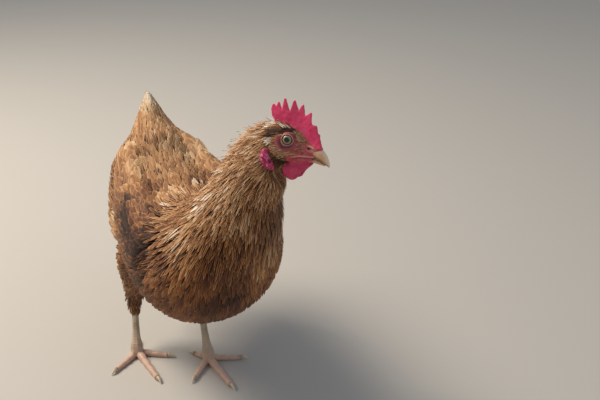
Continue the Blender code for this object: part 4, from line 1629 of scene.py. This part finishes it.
@dataclass(frozen=True)
class Horn:
    """Keratin of the bill or the claws: hard and waxy, streaked along its growth.

    Attributes:
        name: The material's name.
        stops: Its colours from root to tip.
        edge: Its colour along the cutting edge.
        crest: A painted highlight along the ridge.
    """

    name: str
    stops: Ramp
    edge: str = "#8a5a30"
    crest: str = "#f8e2d4"

    def make(self) -> bpy.types.Material:
        """Builds the material, which reads how far each place is from root to tip."""
        finish = Finish(self.name)
        grown = finish.attribute("grown")
        streak = finish.add("TexNoise", finish.place(), Scale=260.0, Detail=6.0, Roughness=0.65)
        shift = finish.span(streak, 0.25, 0.75, -0.14, 0.14)
        rings = finish.add("TexNoise", None, finish.math("MULTIPLY", grown, 26.0),
                           noise_dimensions="1D", Scale=1.0)
        rings = finish.span(rings, 0.3, 0.7, -0.06, 0.06)
        wavering = finish.total(finish.attribute("height"), shift)
        colour = finish.ramp(self.stops, finish.total(grown, shift, rings))
        colour = finish.mix(finish.span(wavering, 0.05, -0.55, 0.0, 0.85), colour, self.edge)
        # Paler along the top of each half: a painted highlight on the ridge.
        colour = finish.mix(finish.span(wavering, 0.45, 0.95, 0.0, 0.8), colour, self.crest)
        return finish.dress(colour, 0.38, 1.54, Subsurface_Weight=0.1, Subsurface_Scale=0.4,
                            Subsurface_Radius=(0.002, 0.0015, 0.001),
                            Normal=finish.bump(streak, 0.2, 0.0002))


BILL_HORN = Horn("bill_keratin", ((0.0, "#cf7468"), (0.12, "#e2a07e"), (0.3, "#efc094"),
                                  (0.55, "#e0a878"), (0.8, "#f0c898"), (1.0, "#f4dcb8")))
CLAW_HORN = Horn("claw_keratin", ((0.0, "#b09a80"), (0.4, "#cbb99c"), (1.0, "#e2d8c4")))


# ---------------------------------------------------------------- studio


@dataclass
class Studio:
    """The floor, the lights and the camera."""

    eye: tuple[float, float, float] = (0.8528, -0.1876, 0.6280)
    way: tuple[float, float, float] = (-0.8420, 0.3334, -0.4242)
    aim: tuple[float, float, float] = (0, 0, 0.2)
    lens: float = 50.0
    floor_size: float = 12.0
    air: str = "#c9ced6"
    air_light: float = 0.5

    def build_floor(self) -> None:
        """A wide pale floor."""
        bpy.ops.mesh.primitive_plane_add(size=self.floor_size)
        floor = bpy.context.object
        floor.name = "floor"
        floor.data.materials.append(Paint().make())

    def build_light(self, name: str, place: tuple, power: float, size: float, colour: str) -> None:
        """Adds a soft light that points at the hen.

        Args:
            name: The light's name.
            place: Where it hangs.
            power: Its power in watts.
            size: The width of its panel.
            colour: Its hex colour.
        """
        bpy.ops.object.light_add(type="AREA", location=place)
        lamp = bpy.context.object
        lamp.name = name
        lamp.data.energy, lamp.data.size = power, size
        lamp.data.color = linear(colour)[:3]
        lamp.rotation_euler = (Vector(self.aim) - Vector(place)).to_track_quat("-Z", "Y").to_euler()

    def build(self) -> None:
        """Sets up everything round the hen."""
        self.build_floor()
        self.build_light("key", (-0.8, -0.95, 1.65), 44, 0.9, "#fff1de")
        self.build_light("fill", (1.6, 0.6, 1.2), 3, 1.6, "#e8eefc")
        world = bpy.data.worlds.new("studio_air")
        bpy.context.scene.world = world
        world.use_nodes = True
        background = world.node_tree.nodes["Background"]
        background.inputs["Color"].default_value = linear(self.air)
        background.inputs["Strength"].default_value = self.air_light
        camera = added("camera", bpy.data.cameras.new("camera"))
        camera.data.lens = self.lens
        camera.data.clip_start = 0.01
        camera.location = self.eye
        camera.rotation_euler = Vector(self.way).to_track_quat("-Z", "Y").to_euler()
        bpy.context.scene.camera = camera
        bpy.context.scene.view_settings.view_transform = "Standard"


# ---------------------------------------------------------------- eyes, bill and claws


@dataclass
class EyeBalls:
    """The eyeballs with their corneas, replacing the CAD's balls in the same sockets."""

    radius: float = 6.1
    cornea: float = 4.6
    swell: float = 0.35
    segments: int = 40
    rings: int = 28

    def build(self) -> None:
        """Makes each ball with its pole where the eye looks, and dresses it."""
        material = Iris().make()
        for side in Side:
            bpy.ops.mesh.primitive_uv_sphere_add(segments=self.segments, ring_count=self.rings,
                                                 radius=self.radius)
            ball = only(bpy.context.object)
            ball.name = ball.data.name = f"eyeball_{side.node}"
            points = points_of(ball)
            off = np.linalg.norm(points[:, :2], axis=1)
            ahead = points[:, 2] > 0
            points += unit(points) * (ease(off, self.cornea, 1.0) * ahead * self.swell)[:, None]
            ring = np.where(ahead, off, 2 * self.radius - off) / self.radius
            turn = np.array(Vector(HEAD.gaze(side)).to_track_quat("Z", "Y").to_matrix())
            put_points(ball, HEAD.outward(points @ turn.T + HEAD.eye(side.value)))
            write_attributes(ball, ring=np.clip(ring, 0, 1))
            bpy.ops.object.shade_smooth()
            finish_piece(ball, material, "iris", f"eye_{side.node}")


@dataclass
class Bill:
    """The upper and the lower bill, shut, with the hooked tip.

    Attributes:
        upper: Rings of the upper half in the head's frame: along, top, bottom, half width.
        lower: Rings of the lower half.
        sides: How many sides a ring has.
        widest: How high over its bottom a ring is widest, as a share of its height.
        gum: How much of its root is hidden by the skin.
    """

    upper: tuple = ((18, 3.0, -8.6, 6.4), (21.5, 2.9, -8.9, 6.2), (25, 2.4, -9.2, 5.7),
                    (28.5, 1.5, -10.2, 5.0), (31.5, 0.0, -11.3, 4.3), (34.3, -2.2, -12.5, 3.5),
                    (37, -5.2, -13.5, 2.6), (39, -8.6, -14.3, 1.7), (40.4, -12.0, -15.0, 0.8))
    lower: tuple = ((18, -9.4, -13.4, 5.4), (22, -9.7, -13.6, 5.0), (26, -10.0, -13.6, 4.3),
                    (30, -11.0, -13.9, 3.5), (33.5, -12.3, -14.3, 2.5), (36.3, -13.4, -14.6, 1.4))
    sides: int = 20
    widest: float = 0.36
    gum: float = 5.0

    def loft(self, name: str, rings: Sequence[tuple], ridge: float) -> Piece:
        """Draws a closed ring forward through the rings given, and rounds it.

        Args:
            name: The piece's name.
            rings: Its rings, from root to tip.
            ridge: How sharply its top is drawn up into a ridge.

        Returns:
            The piece, in its place.
        """
        bpy.ops.mesh.primitive_circle_add(vertices=self.sides, radius=1, fill_type="NGON")
        piece = bpy.context.object
        piece.name = piece.data.name = name
        with editing(piece):
            for _ in rings[1:]:
                bpy.ops.mesh.extrude_region_move(TRANSFORM_OT_translate={"value": (0, 0, 1)})
        reach, rise, level = points_of(piece).T
        along, top, bottom, half = np.array(rings)[np.rint(level).astype(int)].T
        lean = 1 - np.where(rise > 0, ridge, 0.12) * rise ** 2
        middle = bottom + (top - bottom) * self.widest
        z = middle + np.where(rise > 0, top - middle, middle - bottom) * rise
        first, last = rings[0][0] + self.gum, rings[-1][0]
        put_points(piece, HEAD.outward(np.stack([along, half * reach * lean, z], axis=1)))
        write_attributes(piece, grown=np.clip((along - first) / (last - first), 0, 1), height=rise)
        with editing(piece):
            bpy.ops.mesh.normals_make_consistent(inside=False)
        apply_modifier(piece, "SUBSURF", levels=2, render_levels=2)
        return piece

    def build(self) -> None:
        """Makes both halves and dresses them."""
        material = BILL_HORN.make()
        for half, rings, ridge in (("upper", self.upper, 0.42), ("lower", self.lower, 0.0)):
            piece = self.loft(f"bill_{half}", rings, ridge)
            bpy.ops.object.shade_smooth()
            finish_piece(piece, material, "horn", f"beak_{half}")


@dataclass
class Claws:
    """The claws, rounded from the CAD's facets."""

    voxel: float = 0.45 * MM

    def build(self) -> None:
        """Makes each claw and dresses it."""
        material = CLAW_HORN.make()
        for side in Side:
            for toe in LegFlesh.TOES:
                node = f"claw_{toe}_{side.node}"
                claw = cast_of([node], f"nail_{toe}_{side.node}")
                regrow(claw, self.voxel, 5)
                foot = np.array(FOOT[side]) * MM
                reach = np.linalg.norm(points_of(claw)[:, :2] - foot[:2], axis=1)
                write_attributes(claw, grown=(reach - reach.min()) / np.ptp(reach))
                bpy.ops.object.shade_smooth()
                finish_piece(claw, material, "horn", node)


# ---------------------------------------------------------------- the whole hen


class HenCoat:
    """All the tracts of feathers on the form."""

    TRACTS = (
        # under_crown is darker by its tint: painted shade in the gaps between the crown feathers over it.
        Tract("under_crown", CROWN, ((-30, 1.2), (0, 1.4), (50, 2)),
              ((-30, 4.5), (0, 6.5), (50, 12)), ((-30, 1), (0, 1.3), (50, 2.2)),
              ((-30, 0.2), (50, 0.3)), 9, 25, sunk=0.5, tint=-0.08),
        Tract("crown_feathers", CROWN, ((-30, 1.2), (0, 1.6), (24, 2.1), (48, 2.7)),
              ((-30, 5), (0, 9), (24, 15), (48, 21)), ((-30, 0.8), (0, 0.85), (24, 1.1), (48, 1.5)),
              ((-30, 0.4), (10, 1.0), (30, 1.4), (50, 1.2)), 6, 51, 0.08, 3.0, 0.12),
        Tract("nape_wisps", CROWN, ((-30, 3.2), (20, 2.5), (60, 3.6)),
              ((-30, 9), (20, 15), (60, 20)), ((-30, 1.3), (20, 1.7), (60, 2.0)),
              ((-30, 2.4), (5, 5), (24, 7), (60, 4.5)), 13, 71, 0.3, 3.5, 0.15),
        # under_front and under_rear are darker by their tint: painted shade in the gaps between the
        # feathers over them.
        Tract("under_front", CROWN, ((44, 2.4), (110, 3.6), (230, 5)),
              ((44, 12), (110, 20), (230, 24)), ((44, 2.6), (110, 4), (230, 6)),
              ((44, 0.3), (230, 0.5)), 8, 23, sunk=1.2, tint=-0.05),
        Tract("under_rear", CROWN, 5.0, ((230, 24), (520, 20)), ((230, 6.5), (520, 6)), 0.5, 8, 24,
              sunk=1.2, tint=-0.08),
        Tract("hackle_upper", HACKLE, ((48, 3.1), (90, 4.0), (118, 4.6)),
              ((48, 21), (90, 32), (118, 40)), ((48, 1.7), (90, 2.2), (118, 2.6)), 0.7, 4, 12,
              vary=0.1),
        Tract("hackle_lower", HACKLE, ((115, 4.2), (188, 4.6)), ((115, 40), (188, 46)),
              ((115, 2.6), (188, 3.6)), 0.5, 4, 22, vary=0.1),
        Tract("breast_feathers", SADDLE, ((130, 3.8), (185, 4.4), (230, 5.2), (320, 5.8)),
              ((130, 30), (185, 34), (320, 34)), ((130, 3.8), (185, 4.6), (230, 5.8), (320, 6.6)),
              0.6, 6, 13, vary=0.05),
        Tract("back_feathers", SADDLE, ((185, 4.2), (230, 5.0), (430, 5.6)),
              ((185, 36), (300, 36), (430, 38)), ((185, 4.2), (230, 5.0), (430, 5.8)),
              ((185, 0.5), (430, 0.6)), 7, 14, vary=0.06),
        Tract("belly_feathers", SADDLE, ((185, 4.6), (330, 4.8)), ((185, 32), (330, 30), (440, 34)),
              ((185, 5.4), (330, 5.6)), 0.5, 7, 15, vary=0.06),
        Tract("tail_coverts", SADDLE, ((430, 5.4), (520, 4.2), (550, 3)),
              ((430, 42), (500, 36), (540, 24)), ((430, 6), (520, 5), (550, 3.6)),
              ((430, 0.6), (520, 0.4)), 6, 16, vary=0.06),
        *(Tract(f"wing_coverts_{side.node}", CONTOUR, ((185, 4.6), (260, 6.2), (360, 8)),
                ((185, 16), (260, 26), (360, 38)), ((185, 7.5), (260, 10), (360, 14)), 0.9, 5, seed,
                vary=0.06)
          for side, seed in ((Side.LEFT, 17), (Side.RIGHT, 18))),
        Tract("ear_tufts", CROWN, 1.0, 8.0, 1.8, 2.8, 16, 33, sunk=-0.7, tint=0.55),
        Tract("thigh_feathers", FLUFF, 3.6, 24.0, 5.2, 1.4, 10, 19),
    )
    FANS = (
        Fan("secondaries_right", 10, ((34, -66, 192), (-34, -56, 230)),
            ((-78, -60, 183), (-150, -32, 238)), (15, 13), (-1.8, -0.2), (0.34, 0.48), 0.5),
        Fan("secondaries_left", 10, ((20, 84, 192), (-44, 74, 230)),
            ((-80, 78, 183), (-148, 48, 238)), (15, 13), (-1.8, -0.2), (0.34, 0.48), 0.5),
        Fan("rectrices_right", 7, ((-122, -8, 214), (-118, -6, 236)),
            ((-196, 6, 252), (-208, 9, 290)), (22, 18), (-0.6, 0.4), (0.46, 0.6), 0.4),
        Fan("rectrices_left", 7, ((-122, 26, 214), (-118, 24, 236)),
            ((-196, 18, 252), (-208, 15, 290)), (22, 18), (-0.6, 0.4), (0.46, 0.6), 0.4),
    )
    FIRST_FAN_SEED = 61
    QUILLS_SHOW: Keys = ((186, 18), (212, -40), (228, -92), (238, -150))
    CAPE_END: Keys = ((132, 262), (188, 236))

    def __init__(self, form: Form, material: bpy.types.Material) -> None:
        """Works out which part of the form each tract covers."""
        self.coat = Coat(form, material)
        arc, region = form.arc, form.region
        body, high = region == Region.BODY.value, form.surface.normals[:, 2]
        x, _, z = (form.surface.points / MM).T
        head = HEAD.inward(form.surface.points)
        ahead, aside, over = head.T
        comb = (np.abs(aside) < 2.0) & (ahead > -22) & (over > 2)
        bill = (ahead > 19) & (over > -16)
        feathered = (face_round(head) < 0.02) & ~comb & ~bill
        covert = (x > read(self.QUILLS_SHOW, z)) | (z > 238)
        cape = z > read(self.CAPE_END, arc) - 10 * mottle(form.surface.points / MM, 16, 41)
        trunk = body & (arc >= 185)
        self.allowed = {
            "under_crown": (arc < 52) & feathered,
            "crown_feathers": (arc < 50) & feathered,
            "nape_wisps": (arc < 66) & (arc > -6) & feathered & (high > 0.4) & ((ahead < -6) | (over > 5)),
            "under_front": (arc >= 44) & (arc < 232) & feathered,
            "under_rear": arc >= 228,
            "hackle_upper": body & (arc >= 48) & (arc < 118) & feathered,
            "hackle_lower": body & (arc >= 116) & (arc < 188) & (cape | (arc < 124)),
            "breast_feathers": (trunk | (body & (arc > 126) & ~cape)) & (high < 0.3) & (x > -20),
            "ear_tufts": (np.abs(ahead + 13.5) < 2) & (np.abs(over - 1.2) < 2.4) & (np.abs(aside) > 8),
            "back_feathers": trunk & (high >= 0.25) & (arc < 440),
            "belly_feathers": trunk & (high < 0.3) & (x <= -15) & (arc < 440),
            "tail_coverts": body & (arc >= 432),
            "wing_coverts_left": (region == Region.WING_LEFT.value) & covert,
            "wing_coverts_right": (region == Region.WING_RIGHT.value) & covert,
            "thigh_feathers": region >= Region.THIGH_LEFT.value,
        }

    def build(self) -> None:
        """Lays every tract and every fan."""
        for tract in self.TRACTS:
            self.coat.lay(tract, self.allowed[tract.name])
        for seed, fan in enumerate(self.FANS, self.FIRST_FAN_SEED):
            self.coat.fan(fan, seed)


@dataclass(frozen=True)
class Bristles:
    """A field of short bristles on the face: its sizes, its tones and which scatter it is."""

    name: str
    spacing: float
    length: float
    width: float
    pale: float
    rust: float
    lift: float
    seed: int


class FaceBristles:
    """The short bristles of the cheeks, the brow, the lores and the throat."""

    CHEEK = Bristles("cheek_bristles", 0.95, 4.0, 0.6, 0.7, 0.85, 0.6, 31)
    BROW = Bristles("brow_bristles", 0.7, 4.6, 0.62, 0.6, 0.55, 0.6, 32)
    LORES = Bristles("lores_bristles", 1.3, 3.2, 0.5, 0.5, 0.4, 0.5, 35)
    THROAT = Bristles("throat_bristles", 1.2, 6.5, 1.1, 0.32, 0.5, 0.8, 34)
    OVER_SKIN = 0.22
    ROOT_OVER = 0.1

    def __init__(self, skin: Piece, material: bpy.types.Material) -> None:
        """Reads the skin of the head."""
        self.material = material
        self.surface = Surface(skin)
        self.here = HEAD.inward(self.surface.points)
        masks = np.empty((5, len(self.here)))
        for mask, name in zip(masks, ("comb", "wattle", "lobe", "lid", "scaled")):
            skin.data.attributes[name].data.foreach_get("value", mask)
        comb, wattle, lobe, lid, scaled = masks
        self.plain = (comb + wattle + lobe < 0.25) & (lid < 30) & (scaled < 0.5) & (self.here[:, 0] > -30)

    def lie(self, places: Array) -> Array:
        """Backwards from the bill, parting round the eye."""
        here = HEAD.inward(places)
        spoke = here - HEAD.eye(np.sign(here[:, 1]))
        gap = np.linalg.norm(spoke, axis=1)
        way = np.tile([-1.0, 0, -0.28], (len(here), 1))
        way[:, 2] += 1.1 * np.sign(spoke[:, 2] + 0.5) * bell((gap - 8) / 5) * ease(spoke[:, 0], -6, 4)
        return unit(way @ HEAD.axes.T)

    def lay(self, kind: Bristles, allowed: Array) -> None:
        """Covers a part of the face.

        Args:
            kind: The bristles.
            allowed: True at each skin vertex that takes them.
        """
        rng = np.random.default_rng(kind.seed)
        gap = np.full(len(self.here), kind.spacing * MM)
        roots, _ = self.surface.scatter(gap, allowed & self.plain, kind.seed)
        number = len(roots)
        lengths = kind.length * MM * rng.normal(1, 0.2, number)
        sway = np.radians(rng.normal(0, 14, number))
        places, normals = trace(self.surface, self.lie, roots, lengths, sway, CROWN.rows)
        width = kind.width * MM * rng.normal(1, 0.15, number)
        lift = kind.lift * MM * rng.random(number)
        pale = np.clip(kind.pale + rng.normal(0, 0.12, number), 0, 1)
        rust = np.clip(kind.rust + rng.normal(0, 0.1, number), 0, 1)
        x, y, z = HEAD.inward(roots).T
        patch = np.stack([(x + 40) / 90, np.arctan2(y, z) / 6.3 + 0.5], 1)
        batch = Batch(places + normals * self.OVER_SKIN * MM, normals, width,
                      np.full(number, -self.ROOT_OVER * MM), lift, pale, rust, patch)
        batch.grow(kind.name, CROWN, self.material, kind.seed)

    def build(self) -> None:
        """Lays the cheeks, the brow, the lores and the throat."""
        x, y, z = self.here.T
        near = (face_round(self.here) > -0.1) & (np.abs(x) < 30)
        bare = face_bare(self.here)
        covered = near & (bare < 0.12) & (x < 19)
        self.lay(self.CHEEK, covered & (z < 3))
        self.lay(self.BROW, covered & (z >= 3))
        self.lay(self.LORES, near & (bare >= 0.12) & (x > 4) & (x < 18) & (z > -6))
        self.lay(self.THROAT, (x > -12) & (x < 20) & (z < -11) & (np.abs(y) < 14) & (bare < 0.1))


def main() -> None:
    """Builds the hen and the studio, piece by piece."""
    logging.basicConfig(level=logging.INFO, format="%(message)s")
    plumage = Plumage()
    skin = Skin(FORM).build(BirdSkin().make(plumage))
    feathers = plumage.make()
    HenCoat(FORM, feathers).build()
    FaceBristles(skin, feathers).build()
    EyeBalls().build()
    Bill().build()
    Claws().build()
    bpy.data.objects.remove(FORM.piece)
    Studio().build()


if __name__ == "__main__":
    main()
